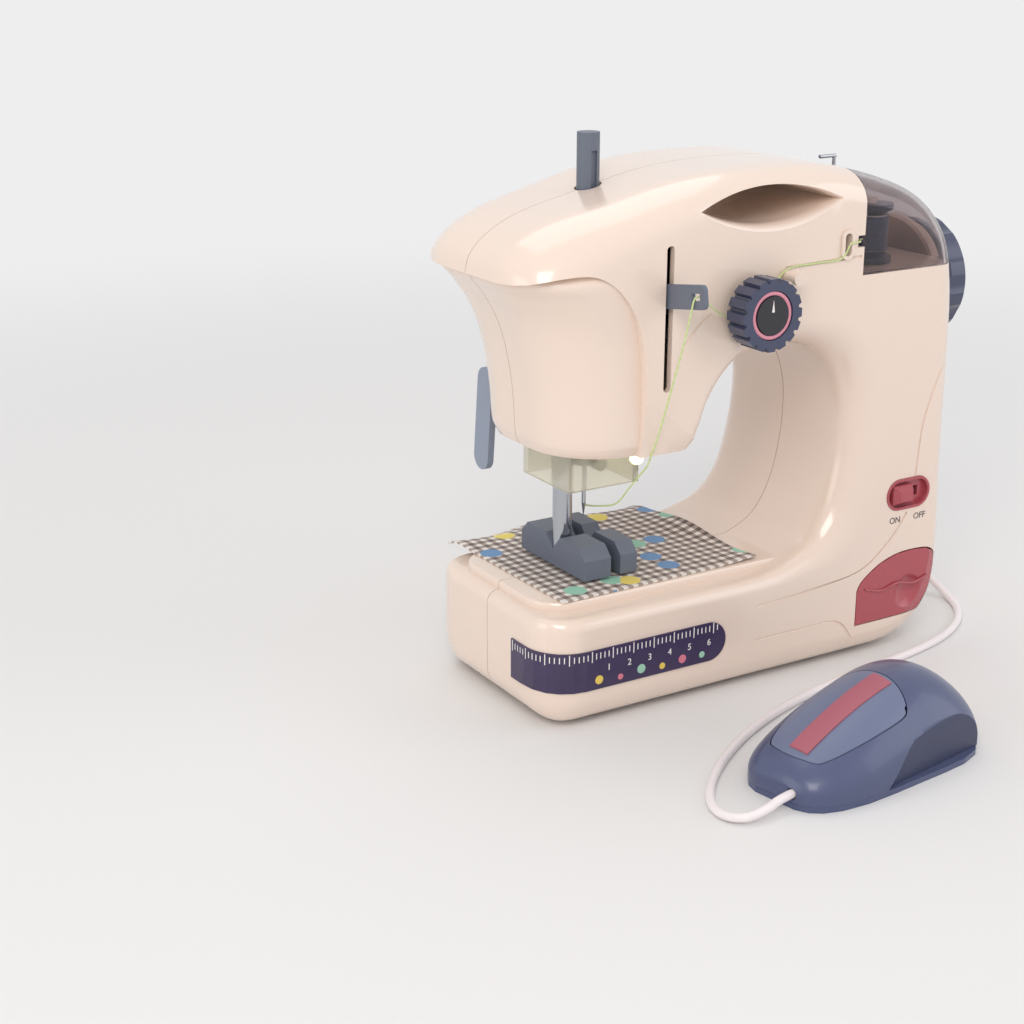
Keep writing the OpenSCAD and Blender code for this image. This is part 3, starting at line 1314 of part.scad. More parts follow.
module treadle() color("#6d7690") at_pedal() difference() {
    union() {
        intersection() {
            difference() {
                nose_loft(0, 0);
                nose_loft(pedal_wall, 1);
            }
            translate([0, 0, base_t + pedal_lip]) treadle_slab(0, treadle_shares);
        }
        for (side = [-1, 1])
            translate([treadle_x, side * (treadle_half - treadle_knuckle_l / 2) + treadle_knuckle_l / 2, treadle_z])
                rotate([90, 0, 0]) cylinder(r = treadle_knuckle_r, h = treadle_knuckle_l);
    }
    translate([treadle_x, pedal_w, treadle_z]) rotate([90, 0, 0]) cylinder(r = treadle_pin_r + run_gap, h = 2 * pedal_w);
}

stripe_t = 0.5;
module treadle_stripe() color("#a9606e") at_pedal() intersection() {
    difference() {
        nose_loft(-stripe_t, 0);
        nose_loft(-run_gap, 1);
    }
    translate([0, 0, base_t + pedal_lip]) treadle_slab(0, stripe_shares);
}

module treadle_pin() color(steel) at_pedal() translate([treadle_x, treadle_half, treadle_z]) rotate([90, 0, 0])
    cylinder(r = treadle_pin_r, h = 2 * treadle_half);

module pedal_spring() color(steel) at_pedal() translate([spring_x_share * pedal_half, 0, base_t]) difference() {
    cylinder(r = pedal_spring_r, h = spring_h_share * pedal_h - base_t);
    translate([0, 0, -over]) cylinder(r = pedal_spring_r - spring_wall, h = pedal_h);
}

front_shell();
rear_shell();
rubber_feet();
needle_plate();
battery_door();
battery_tray();
spool_cover();
cover_pin();
spool_pin();
thread_spool();
thread_winding();
wire_guide();
thread_peg();
thread_slot();
tension_stud();
tension_discs();
tension_dial();
dial_cap();
take_up_lever();
lever_bracket();
needle_bar();
needle_yoke();
needle_clamp();
clamp_screw();
needle();
presser_bar();
presser_spring();
presser_foot();
upper_guide();
lower_guide();
lifter_lever();
lifter_pin();
needle_shroud();
work_light();
main_shaft();
shaft_bearing();
collar();
handwheel();
crank_disc();
drive_gear();
motor();
motor_pinion();
motor_cradle();
switch_frame();
light_switch();
switch_body();
drawer();
drawer_runner();
ruler_strip();
shell_screws();
sample_cloth();
cord_gland();
cord();
pedal_housing();
pedal_base();
treadle();
treadle_stripe();
treadle_pin();
pedal_spring();
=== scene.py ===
import json
import math

import bmesh
import bpy
import numpy as np
from mathutils import Matrix, Vector


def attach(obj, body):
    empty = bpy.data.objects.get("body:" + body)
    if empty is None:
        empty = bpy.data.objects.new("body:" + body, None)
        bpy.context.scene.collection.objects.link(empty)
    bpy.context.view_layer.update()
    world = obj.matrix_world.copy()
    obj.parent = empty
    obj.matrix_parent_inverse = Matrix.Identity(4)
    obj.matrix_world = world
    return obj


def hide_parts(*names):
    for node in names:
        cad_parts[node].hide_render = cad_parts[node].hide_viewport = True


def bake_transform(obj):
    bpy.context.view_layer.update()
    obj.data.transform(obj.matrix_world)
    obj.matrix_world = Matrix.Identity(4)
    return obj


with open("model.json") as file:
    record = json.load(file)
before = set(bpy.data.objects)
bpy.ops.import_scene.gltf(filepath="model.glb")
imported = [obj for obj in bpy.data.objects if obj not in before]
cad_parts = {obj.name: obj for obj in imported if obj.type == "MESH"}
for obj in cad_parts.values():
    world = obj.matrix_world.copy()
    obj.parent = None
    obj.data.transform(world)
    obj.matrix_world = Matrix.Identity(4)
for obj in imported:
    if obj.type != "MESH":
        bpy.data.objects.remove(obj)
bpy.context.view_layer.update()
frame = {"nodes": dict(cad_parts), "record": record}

# Studio: a pale paper floor that meets an equally pale surround, one broad window light from
# the left front, and weaker ones from the right, overhead and the left. The camera stands to
# the left of the bed's end, a little above the arm.
MM = 0.001
surround_tint = "#eeeeef"
floor_half, fade_from, fade_to = 40.0, 0.28, 0.95
lamp_aim = Vector((0, -0.02, 0.09))
camera_place, camera_turn, camera_rise = (-0.384, -0.508, 0.268), math.radians(-31.0), math.radians(18.6)


def linear(code):
    parts = [int(code[k:k + 2], 16) / 255 for k in (1, 3, 5)]
    return tuple(v / 12.92 if v <= 0.04045 else ((v + 0.055) / 1.055) ** 2.4 for v in parts) + (1.0,)


def add(tree, kind, settings=None, links=None):
    made = tree.nodes.new(kind)
    for name, value in (settings or {}).items():
        if isinstance(name, str) and hasattr(made, name):
            setattr(made, name, value)
        else:
            made.inputs[name].default_value = value
    for name, socket in (links or {}).items():
        tree.links.new(socket, made.inputs[name])
    return made


def new_material(name):
    made = bpy.data.materials.new(name)
    made.use_nodes = True
    made.node_tree.nodes.clear()
    return made, made.node_tree, add(made.node_tree, "ShaderNodeOutputMaterial")


scene = bpy.context.scene
scene.view_settings.view_transform = "Standard"
world = bpy.data.worlds.new("studio")
world.use_nodes = True
tree = world.node_tree
tree.nodes.clear()
ambient = add(tree, "ShaderNodeBackground", {"Color": linear("#f4f4f5"), "Strength": 0.66})
backdrop = add(tree, "ShaderNodeBackground", {"Color": linear(surround_tint), "Strength": 1.0})
rays = add(tree, "ShaderNodeLightPath")
bounced = add(tree, "ShaderNodeMath", {"operation": "MAXIMUM"},
              {0: rays.outputs["Is Glossy Ray"], 1: rays.outputs["Is Transmission Ray"]})
seen = add(tree, "ShaderNodeMath", {"operation": "MAXIMUM"},
           {0: rays.outputs["Is Camera Ray"], 1: bounced.outputs[0]})
either = add(tree, "ShaderNodeMixShader", {},
             {0: seen.outputs[0], 1: ambient.outputs[0], 2: backdrop.outputs[0]})
add(tree, "ShaderNodeOutputWorld", {}, {"Surface": either.outputs[0]})
scene.world = world

floor_mesh = bpy.data.meshes.new("floor")
corners = [(x * floor_half, y * floor_half, 0) for x, y in ((-1, -1), (1, -1), (1, 1), (-1, 1))]
floor_mesh.from_pydata(corners, [], [(0, 1, 2, 3)])
floor = bpy.data.objects.new("floor", floor_mesh)
scene.collection.objects.link(floor)
# Matt paper: it takes the soft shadow near the object and fades into the surround further out
floor_look, tree, out = new_material("matt_paper_floor")
paper = add(tree, "ShaderNodeBsdfPrincipled", {"Base Color": linear("#e6e5e4"), "Roughness": 0.9})
far_paper = add(tree, "ShaderNodeEmission", {"Color": linear(surround_tint), "Strength": 1.0})
place = add(tree, "ShaderNodeTexCoord")
reach = add(tree, "ShaderNodeVectorMath", {"operation": "LENGTH"}, {0: place.outputs["Object"]})
fade = add(tree, "ShaderNodeMapRange",
           {"interpolation_type": "SMOOTHSTEP", "From Min": fade_from, "From Max": fade_to},
           {"Value": reach.outputs["Value"]})
blend = add(tree, "ShaderNodeMixShader", {},
            {0: fade.outputs[0], 1: paper.outputs[0], 2: far_paper.outputs[0]})
tree.links.new(blend.outputs[0], out.inputs["Surface"])
floor_mesh.materials.append(floor_look)

for name, place, size, watts, tint in (
        ("window_light", (-0.75, -0.85, 0.95), 0.62, 7.0, "#fffaf6"),
        ("fill_light", (0.95, -0.75, 0.6), 0.9, 3.4, "#f4f6ff"),
        ("overhead_light", (0.1, 0.35, 1.15), 0.9, 3.0, "#ffffff"),
        ("side_light", (-1.05, 0.0, 0.3), 0.5, 1.2, "#ffffff")):
    lamp = bpy.data.lights.new(name, "AREA")
    lamp.shape = "SQUARE"
    lamp.size = size
    lamp.energy = watts
    lamp.color = linear(tint)[:3]
    holder = bpy.data.objects.new(name, lamp)
    holder.location = place
    holder.rotation_euler = (lamp_aim - Vector(place)).to_track_quat("-Z", "Y").to_euler()
    scene.collection.objects.link(holder)

lens = bpy.data.cameras.new("camera")
lens.lens = 63.0
lens.sensor_width = 36.0
lens.clip_start = 0.01
camera = bpy.data.objects.new("camera", lens)
camera.location = camera_place
level = math.cos(camera_rise)
backward = Vector((math.sin(camera_turn) * level, -math.cos(camera_turn) * level, math.sin(camera_rise)))
camera.rotation_euler = backward.to_track_quat("Z", "Y").to_euler()
scene.collection.objects.link(camera)
scene.camera = camera

# Cord: a thin white PVC lead from the gland in the machine's right end to the pedal's nose.
# It drops to the table, lies there in one loose bend, and has a soft satin skin.
cord_d = 3.0
cord_route = [
    [90, 10, 24], [100, 10, 24], [108, 9, 22], [116, 5, 15], [121, -3, 6], [121, -13, 2], [115, -25, 1.6],
    [104, -36, 1.6], [89, -44, 1.6], [71, -49, 1.6], [51, -52, 1.6], [31, -55, 1.6], [11, -59, 1.6],
    [-9, -65, 1.6], [-28, -73, 1.6], [-45, -83, 1.6], [-58, -93, 1.6], [-67, -102.5, 1.6],
    [-71.5, -110.5, 1.6], [-71.5, -117.5, 1.8], [-67.5, -122.3, 2.6], [-61, -123, 3.8],
    [-55, -121.8, 4.7], [-49.2, -120.8, 5], [-44.3, -119.9, 5]]


def spline_run(keys, steps):
    keys = np.asarray(keys, float)
    rows = []
    for i in range(len(keys) - 1):
        a, b, c, d = keys[max(i - 1, 0)], keys[i], keys[i + 1], keys[min(i + 2, len(keys) - 1)]
        for k in range(steps):
            t = k / steps
            rows.append(0.5 * (2 * b + (c - a) * t + (2 * a - 5 * b + 4 * c - d) * t ** 2
                               + (3 * b - a - 3 * c + d) * t ** 3))
    return np.array(rows + [keys[-1]])


def strand(name, points, radius, look, rings=3):
    line = bpy.data.curves.new(name, "CURVE")
    line.dimensions = "3D"
    line.bevel_depth = radius * MM
    line.bevel_resolution = rings
    line.use_fill_caps = True
    run = line.splines.new("POLY")
    run.points.add(len(points) - 1)
    for spot, place in zip(run.points, points):
        spot.co = (*[float(v) * MM for v in place], 1)
    run.use_smooth = True
    line.materials.append(look)
    made = bpy.data.objects.new(name, line)
    scene.collection.objects.link(made)
    return made


def moulded(name, code, rough, mottle_mm=30.0, grain_mm=0.6, bump=0.04, coat=0.0, vary=0.06):
    made, tree, out = new_material(name)
    place = add(tree, "ShaderNodeTexCoord")
    cloud = add(tree, "ShaderNodeTexNoise", {"Scale": 1000 / mottle_mm, "Detail": 3.0},
                {"Vector": place.outputs["Object"]})
    grain = add(tree, "ShaderNodeTexNoise", {"Scale": 1000 / grain_mm, "Detail": 2.0},
                {"Vector": place.outputs["Object"]})
    base = np.array(linear(code))
    shade = add(tree, "ShaderNodeMix", {"data_type": "RGBA"}, {0: cloud.outputs["Fac"]})
    shade.inputs[6].default_value = (*np.clip(base[:3] * (1 - vary), 0, 1), 1)
    shade.inputs[7].default_value = (*np.clip(base[:3] * (1 + vary), 0, 1), 1)
    gloss = add(tree, "ShaderNodeMapRange", {"To Min": max(rough - 0.05, 0.02), "To Max": rough + 0.07},
                {"Value": cloud.outputs["Fac"]})
    relief = add(tree, "ShaderNodeBump", {"Strength": bump, "Distance": grain_mm * MM * 0.2},
                 {"Height": grain.outputs["Fac"]})
    skin = add(tree, "ShaderNodeBsdfPrincipled", {"IOR": 1.52, "Coat Weight": coat, "Coat Roughness": 0.08},
               {"Base Color": shade.outputs[2], "Roughness": gloss.outputs[0], "Normal": relief.outputs[0]})
    tree.links.new(skin.outputs[0], out.inputs["Surface"])
    return made


# Soft PVC: an even satin white, hardly any grain
cord_pvc = moulded("satin_pvc_cord", "#f1e9ea", 0.42, mottle_mm=12, grain_mm=0.5, bump=0.06)
cord_line = spline_run(cord_route, 8)
cord = strand("cord_lead", cord_line, cord_d / 2, cord_pvc, rings=5)
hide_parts("cord")
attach(cord, "machine")

# Body shells: two cream ABS mouldings that meet on the middle plane, glossy from a polished
# mould. One run of ribs goes from the bed's end up the column, over the arm and into the head,
# and the slimmer lower head grows out from under a brow. They are screwed together from behind.
half_l, half_d = 89.0, 41.0
foot_h, bed_h, throat_h, rise_h = 2.0, 44.0, 81.0, 184.0
wall, seam = 2.4, 0.18
throat_r, top_r, plan_r, least_r = 15.0, 12.0, 15.0, 0.1
head_z, brow_z, head_half_d, head_r, head_tuck = 93.0, 154.72, 35.0, 26.0, 3.0
head_back, head_close = -0.48 * half_l, -0.8 * half_l
arm_y, column_y = 39.155, 39.975
pocket_x, pocket_z = 40.94, 146.44
needle_x, shaft_z = -48.95, 134.0
far_x, far_y, far_z, over = 140.0, 90.0, 300.0, 1.0
end_steps, rib_steps, mid_steps = 14, 8, 4
# A rib's shares: inner x and z, outer x and z, half depth, roundings of its inner and outer edge
rib_shares = [
    [-0.83, -0.037, -0.83, 0, 1, 0.3, 0.3, 0.85, 0.7],
    [-0.34, -0.037, -0.34, 0, 1, 0.3, 0.3, 0.85, 0.7],
    [0.02, -0.034, 0.08, 0, 1, 0.35, 0.3, 0.85, 0.7],
    [0.2, 0.012, 0.5, 0, 1, 0.55, 0.45, 0.9, 0.7],
    [0.315, 0.08, 0.765, 0.006, 1, 0.8, 0.65, 0.9, 0.75],
    [0.393, 0.21, 0.933, 0.05, 0.99, 1, 0.75, 0.9, 0.8],
    [0.438, 0.383, 1, 0.14, 0.985, 1.05, 0.8, 0.8, 0.8],
    [0.455, 0.568, 1, 0.376, 0.975, 1.05, 0.8, 0.75, 0.8],
    [0.444, 0.716, 1, 0.618, 0.965, 1.05, 0.8, 0.75, 0.8],
    [0.399, 0.846, 0.989, 0.768, 0.96, 1, 0.8, 0.85, 0.95],
    [0.32, 0.932, 0.933, 0.862, 0.955, 0.95, 0.75, 0.95, 1.1],
    [0.202, 0.985, 0.755, 0.936, 0.955, 0.85, 0.7, 1, 1.2],
    [0.056, 1, 0.36, 0.991, 0.955, 0.7, 0.6, 1, 1.25],
    [-0.079, 0.982, 0, 1, 0.96, 0.6, 0.5, 1, 1.3],
    [-0.18, 0.914, -0.315, 0.989, 0.965, 0.5, 0.45, 1.05, 1.4],
    [-0.253, 0.802, -0.618, 0.957, 0.965, 0.5, 0.5, 1.2, 1.6],
    [-0.283, 0.7, -0.854, 0.929, 0.962, 0.5, 0.55, 1.45, 1.8],
    [-0.292, 0.672, -0.994, 0.897, 0.961, 0.5, 0.58, 1.5, 1.85],
    [-0.297, 0.65, -1.07, 0.861, 0.958, 0.5, 0.6, 1.5, 1.9],
    [-0.301, 0.63, -1.09, 0.819, 0.955, 0.5, 0.6, 1.5, 1.95]]
# A head ring's shares: height, end, half depth, corner
head_shares = [
    [0, 0.85, 0.94, 0.95], [0.035, 0.862, 0.975, 0.97], [0.09, 0.872, 1, 1], [0.28, 0.88, 1.01, 1],
    [0.46, 0.897, 1.02, 1], [0.64, 0.928, 1.035, 1], [0.78, 0.968, 1.06, 1], [0.9, 1.022, 1.085, 0.98],
    [1, 1.068, 1.1, 0.95], [1.07, 0.98, 1.02, 0.9]]
brow_shares = [
    [-1.3, 0.829], [-1.083, 0.829], [-0.95, 0.843], [-0.83, 0.845], [-0.75, 0.832], [-0.68, 0.805],
    [-0.62, 0.762], [-0.585, 0.71], [-0.568, 0.65], [-0.562, 0.57], [-0.562, 0.4], [-1.3, 0.4]]
# A screw post's shares: x, z, and how deep its screw's head sits
post_shares = [
    [-0.84, 0.12, 0.85], [0.36, 0.12, 0.85], [0.62, 0.44, 0.82], [0.2, 0.78, 0.82], [-0.8, 0.875, 0.45]]
shoulder_z = bed_h + rib_shares[0][1] * throat_h


def soften(made, sharp=35.0):
    made.data.polygons.foreach_set("use_smooth", [True] * len(made.data.polygons))
    made.data.set_sharp_from_angle(angle=math.radians(sharp))


def solid(name, points, faces):
    mesh = bpy.data.meshes.new(name)
    mesh.from_pydata([tuple(float(v) * MM for v in p) for p in points], [], [tuple(f) for f in faces])
    shape = bmesh.new()
    shape.from_mesh(mesh)
    bmesh.ops.remove_doubles(shape, verts=shape.verts, dist=1e-7)
    bmesh.ops.recalc_face_normals(shape, faces=shape.faces)
    shape.to_mesh(mesh)
    shape.free()
    made = bpy.data.objects.new(name, mesh)
    scene.collection.objects.link(made)
    return made


def loft(name, rings):
    n, m = len(rings), len(rings[0])
    faces = [(i * m + j, (i + 1) * m + j, (i + 1) * m + (j + 1) % m, i * m + (j + 1) % m)
             for i in range(n - 1) for j in range(m)]
    faces += [tuple(range(m)), tuple(range((n - 1) * m, n * m))]
    return solid(name, [p for ring in rings for p in ring], faces)


def prism(name, outline, axis, low, high):
    n, at = len(outline), "xyz".index(axis)
    points = [(*pair[:at], level, *pair[at:]) for level in (low, high) for pair in map(tuple, outline)]
    sides = [(k, (k + 1) % n, n + (k + 1) % n, n + k) for k in range(n)]
    return solid(name, points, [tuple(range(n)), tuple(range(n, 2 * n)), *sides])


def block(name, x0, x1, y0, y1, z0, z1):
    return prism(name, [(x0, y0), (x1, y0), (x1, y1), (x0, y1)], "z", z0, z1)


def disc(r, a, b, n=48):
    return [(a + r * math.cos(2 * math.pi * k / n), b + r * math.sin(2 * math.pi * k / n)) for k in range(n)]


def plain_mesh(made):
    bpy.context.view_layer.update()
    return bpy.data.meshes.new_from_object(made.evaluated_get(bpy.context.evaluated_depsgraph_get()))


def carve(base, cutter, how="DIFFERENCE"):
    step = base.modifiers.new("carve", "BOOLEAN")
    step.operation = how
    step.solver = "MANIFOLD"
    step.object = cutter
    cut = plain_mesh(base)
    base.modifiers.clear()
    old = base.data
    base.data = cut
    bpy.data.meshes.remove(old)
    bpy.data.objects.remove(cutter)
    return base


def rib_sizes(s):
    return [s[0] * half_l, bed_h + s[1] * throat_h, s[2] * half_l, foot_h + s[3] * rise_h, s[4] * half_d,
            s[5] * throat_r, s[6] * throat_r, s[7] * top_r, s[8] * top_r]


def sag(t, r):
    return 0 if t >= r else r - math.sqrt(r * r - (r - t) ** 2)


def end_rib(angle, inset):
    edges = rib_sizes(rib_shares[0])[5:]
    r = plan_r - inset
    t = r * (1 - math.cos(angle))
    x = -half_l + inset + t
    depth = half_d - r * (1 - math.sin(angle))
    return [x, shoulder_z - sag(t, edges[0]), x, foot_h + sag(t, edges[2]), depth, *edges]


def body_ribs(inset, steps):
    ends = [end_rib(math.radians(90 * k / end_steps), inset) for k in range(end_steps)]
    run = spline_run([rib_sizes(s) for s in rib_shares], steps)
    tip = rib_sizes(rib_shares[-1])
    close = [tip[0], head_z + inset, head_close, head_z + inset, tip[4] - head_tuck, *tip[5:]]
    return ends + list(run) + [close]


def section(rib, inset, mid, steps=12, flats=6):
    run = np.array([rib[2] - rib[0], rib[3] - rib[1]])
    span = np.linalg.norm(run)
    way, length, depth = run / span, span - 2 * inset, rib[4] - inset
    ax, ay, bx, by = [max(v - inset, least_r) for v in rib[5:9]]
    turn = np.radians(np.linspace(0, 90, steps + 1))
    low = [(ax * (1 - math.cos(a)), ay * (1 - math.sin(a)) - depth) for a in turn]
    high = [(length - bx * (1 - math.cos(a)), by * (1 - math.sin(a)) - depth) for a in turn[::-1]]
    edge = [(0, mid + (low[0][1] - mid) * k / mid_steps) for k in range(mid_steps)] + low
    edge += [(low[-1][0] + (high[0][0] - low[-1][0]) * k / flats, -depth) for k in range(1, flats)]
    edge += high
    edge += [(length, high[-1][1] + (mid - high[-1][1]) * k / mid_steps) for k in range(1, mid_steps + 1)]
    return [(rib[0] + way[0] * (inset + p), y, rib[1] + way[1] * (inset + p)) for p, y in edge]


def head_ring(s, inset, mid, steps=16):
    z = head_z + inset + (brow_z - head_z) * s[0]
    x, d, r = -s[1] * half_l + inset, s[2] * head_half_d - inset, max(s[3] * head_r - inset, 1)
    turn = np.radians(np.linspace(0, 90, steps + 1))
    ring = [(head_back, mid, z), (head_back, -d, z)]
    ring += [(x + r * (1 - math.sin(a)), r * (1 - math.cos(a)) - d, z) for a in turn]
    return ring + [(x, mid + (r - d - mid) * (1 - k / 3), z) for k in range(1, 4)]


def half_form(name, inset, mid, steps):
    form = loft(name, [section(rib, inset, mid) for rib in body_ribs(inset, steps)])
    line = [brow_shares[0], *spline_run(brow_shares[1:-2], 5), *brow_shares[-2:]]
    under = [(s[0] * half_l + inset, foot_h + s[1] * rise_h + inset) for s in line]
    carve(form, prism("under_brow", under, "y", -far_y, far_y))
    return carve(form, loft("head", [head_ring(s, inset, mid) for s in spline_run(head_shares, 6)]), "UNION")


# The bed's raised part is a little smaller than the bed and has a rounded upper edge, made in
# steps: how far each stands out, and how far it is below the top
plateau_end, plateau_side, plateau_r, plateau_x1 = 6.0, 11.0, 12.0, 0.19 * half_l
plateau_steps = [(1.2, 1.2), (1.03, 0.6), (0.6, 0.16), (0, 0)]


def plateau(mid):
    turn = np.radians(np.linspace(0, 90, 13))
    levels = [(plateau_steps[0][0], shoulder_z - plateau_steps[0][1])]
    levels += [(grow, bed_h - drop) for grow, drop in plateau_steps]
    rings = []
    for grow, z in levels:
        x, d, r = -half_l + plateau_end - grow, half_d - plateau_side + grow, plateau_r + grow
        corner = [(x + r * (1 - math.cos(a)), r * (1 - math.sin(a)) - d, z) for a in turn]
        rings.append([(x, mid, z), *corner, (plateau_x1, -d, z), (plateau_x1, mid, z)])
    return loft("plateau", rings)


# The carrying hole is an eye with soft rolled lips, right through the arm
handle_z, handle_l, handle_h, handle_lip = 174.25, 57.0, 12.5, 2.5
handle_flare, handle_mouth, handle_rim, handle_out = 2.0, 0.4, 0.6, 46.0


def eye_ring(grow, y):
    t = np.linspace(-1, 1, 33)
    l, h = handle_l / 2 + grow, handle_h / 2 + grow
    ring = [(l * k, y, handle_z + h * (1 - k * k)) for k in t[:-1]]
    return ring + [(l * k, y, handle_z - h * (1 - k * k)) for k in t[:0:-1]]


def handle_cut(grow):
    lip = [(grow + handle_lip + handle_flare, -handle_out),
           (grow + handle_lip + handle_mouth, -arm_y - handle_rim)]
    lip += [(grow + handle_lip * (1 - math.sin(a)), -arm_y + 2 * handle_lip * (1 - math.cos(a)))
            for a in np.radians(np.linspace(0, 90, 9))]
    return loft("eye", [eye_ring(g, y) for g, y in lip] + [eye_ring(g, -y) for g, y in lip[::-1]])


# One half is made with its walls and the openings that both halves share, and the other mirrors it
post_r, rod_hole_r, shaft_seat_r, needle_hole_r = 3.6, 4.7, 8.1, 2.0
shroud_left, shroud_right, shroud_half_d = 18.5, 15.5, 17.0
plate_half_l, plate_half_d, plate_t = 19.1, 20.1, 1.2
door_x, door_half_l, door_half_d = -0.225 * half_l, 39.0, 28.0
front = half_form("front_moulding", 0, -seam, rib_steps)
carve(front, plateau(-seam), "UNION")
hollow = half_form("hollow", wall, over, 4)
carve(hollow, handle_cut(wall))
carve(hollow, block("pocket", pocket_x - wall, far_x, -far_y, far_y, pocket_z - wall, far_z))
for s in post_shares:
    post = disc(post_r, s[0] * half_l, foot_h + s[1] * rise_h, 24)
    carve(hollow, prism("post", post, "y", -far_y, far_y))
carve(front, hollow)
carve(front, handle_cut(0))
carve(front, block("pocket", pocket_x, far_x, -far_y, far_y, pocket_z, far_z))
carve(front, prism("shaft_seat", disc(shaft_seat_r, 0, shaft_z), "x",
                   half_l - wall - 4 * over, half_l + 4 * over))
carve(front, prism("rod_hole", disc(rod_hole_r, needle_x, 0), "z", brow_z, far_z))
carve(front, block("head_hole", needle_x - shroud_left, needle_x + shroud_right,
                   -shroud_half_d, shroud_half_d, head_z - 2 * over, head_z + wall + over))
carve(front, block("plate_seat", needle_x - plate_half_l, needle_x + plate_half_l,
                   -plate_half_d, plate_half_d, bed_h - plate_t, bed_h + over))
carve(front, prism("needle_hole", disc(needle_hole_r, needle_x, 0, 24), "z",
                   shoulder_z - 4 * over, bed_h + over))
carve(front, block("door_opening", door_x - door_half_l, door_x + door_half_l, -door_half_d, door_half_d,
                   0, foot_h + wall + over))
rear = bpy.data.objects.new("rear_moulding", front.data.copy())
scene.collection.objects.link(rear)
rear.data.transform(Matrix.Scale(-1, 4, (0, 1, 0)))
rear.data.flip_normals()

# Front shell's own openings: the drawer, the take-up lever's slot, the dial, the slot guide, the
# thread's notch and the switch. Shallow styling lines are moulded into the same ABS.
drawer_x0, drawer_x1, drawer_z, drawer_h, drawer_gap = 46.28, 84.995, 14.0, 25.0, 0.4
drawer_shares = [
    [0, 0], [0.86, 0], [0.94, 0.06], [0.985, 0.2], [1, 0.5], [1, 0.8], [0.97, 0.9], [0.88, 0.975],
    [0.7, 1], [0.5, 0.985], [0.3, 0.9], [0.14, 0.77], [0.04, 0.65], [0, 0.54]]
dial_x, dial_z, dial_bore_r = -8.9, 140.0, 3.1
# A slot's length, width, x and z
lever_slot, guide_slot = (49.0, 3.0, -42.35, 140.0), (8.0, 3.0, 32.93, 158.03)
switch_slot = (21.2, 12.2, 68.98, 61.98)
notch_left, notch_right, notch_z0, notch_z1 = 3.0, 1.0, 156.56, 160.6
middle, arm_inside, column_inside = -half_d / 2, -arm_y + 2 * wall, -column_y + 2 * wall
crease_r, crease_sink = 0.5, 0.1
crease_shares = {
    "column_line": [[0.97, 0.61, 0.965], [0.9, 0.555, 0.968], [0.835, 0.467, 0.972], [0.81, 0.36, 0.976]],
    "base_line": [[0.775, 0.285, 0.98], [0.69, 0.235, 0.985], [0.54, 0.185, 0.99], [0.3, 0.168, 0.995],
                  [-0.01, 0.158, 1]],
    "skirt_line": [[-0.01, 0.087, 1], [0.2, 0.087, 1], [0.415, 0.083, 1], [0.505, 0.035, 1]],
    "head_line": [[-0.28, 0.75, 0.965], [-0.35, 0.728, 0.966], [-0.427, 0.674, 0.968], [-0.46, 0.598, 0.972],
                  [-0.483, 0.533, 0.974]],
    "thread_line": [[0.07, 0.818, 0.955], [0.25, 0.82, 0.955], [0.45, 0.822, 0.955]]}


def pill(length, width, x, z, upright=False, n=16):
    side = (length - width) / 2
    turn = [math.pi * k / n - math.pi / 2 for k in range(n + 1)]
    ring = [(side + width / 2 * math.cos(a), width / 2 * math.sin(a)) for a in turn]
    ring += [(-p, -q) for p, q in ring]
    return [(x + q, z - p) if upright else (x + p, z + q) for p, q in ring]


def grown(outline, grow):
    pts = np.array(outline, float)
    ahead, back = np.roll(pts, -1, 0) - pts, pts - np.roll(pts, 1, 0)
    n1 = np.stack([ahead[:, 1], -ahead[:, 0]], 1) / np.linalg.norm(ahead, axis=1)[:, None]
    n2 = np.stack([back[:, 1], -back[:, 0]], 1) / np.linalg.norm(back, axis=1)[:, None]
    n = n1 + n2
    return pts + grow * 2 * n / (n * n).sum(1)[:, None]


def crease(name, shares):
    keys = [[s[0] * half_l, -s[2] * half_d + crease_sink, foot_h + s[1] * rise_h] for s in shares]
    line = spline_run(keys, 8)
    rings = []
    for i, spot in enumerate(line):
        way = line[min(i + 1, len(line) - 1)] - line[max(i - 1, 0)]
        side = np.cross(way, (0, 1, 0))
        side /= np.linalg.norm(side)
        rings.append([spot + crease_r * (math.cos(a) * side + math.sin(a) * np.array((0, 1, 0)))
                      for a in np.radians(np.arange(0, 360, 36))])
    return loft(name, rings)


arch = [(drawer_x0 + (drawer_x1 - drawer_x0) * s[0], drawer_z + drawer_h * s[1])
        for s in [*drawer_shares[:2], *spline_run(drawer_shares[1:], 4)[1:]]]
carve(front, prism("drawer_opening", grown(arch, drawer_gap), "y", -far_y, middle))
carve(front, prism("take_up_slot", pill(*lever_slot, upright=True), "y", -far_y, arm_inside))
carve(front, prism("dial_bore", disc(dial_bore_r, dial_x, dial_z), "y", -far_y, middle))
carve(front, prism("guide_slot", pill(*guide_slot, upright=True), "y", -far_y, arm_inside))
carve(front, block("thread_notch", pocket_x - notch_left, pocket_x + notch_right, -far_y, arm_inside,
                   notch_z0, notch_z1))
carve(front, prism("switch_opening", pill(*switch_slot), "y", -far_y, column_inside))
for name, shares in crease_shares.items():
    carve(front, crease(name, shares))

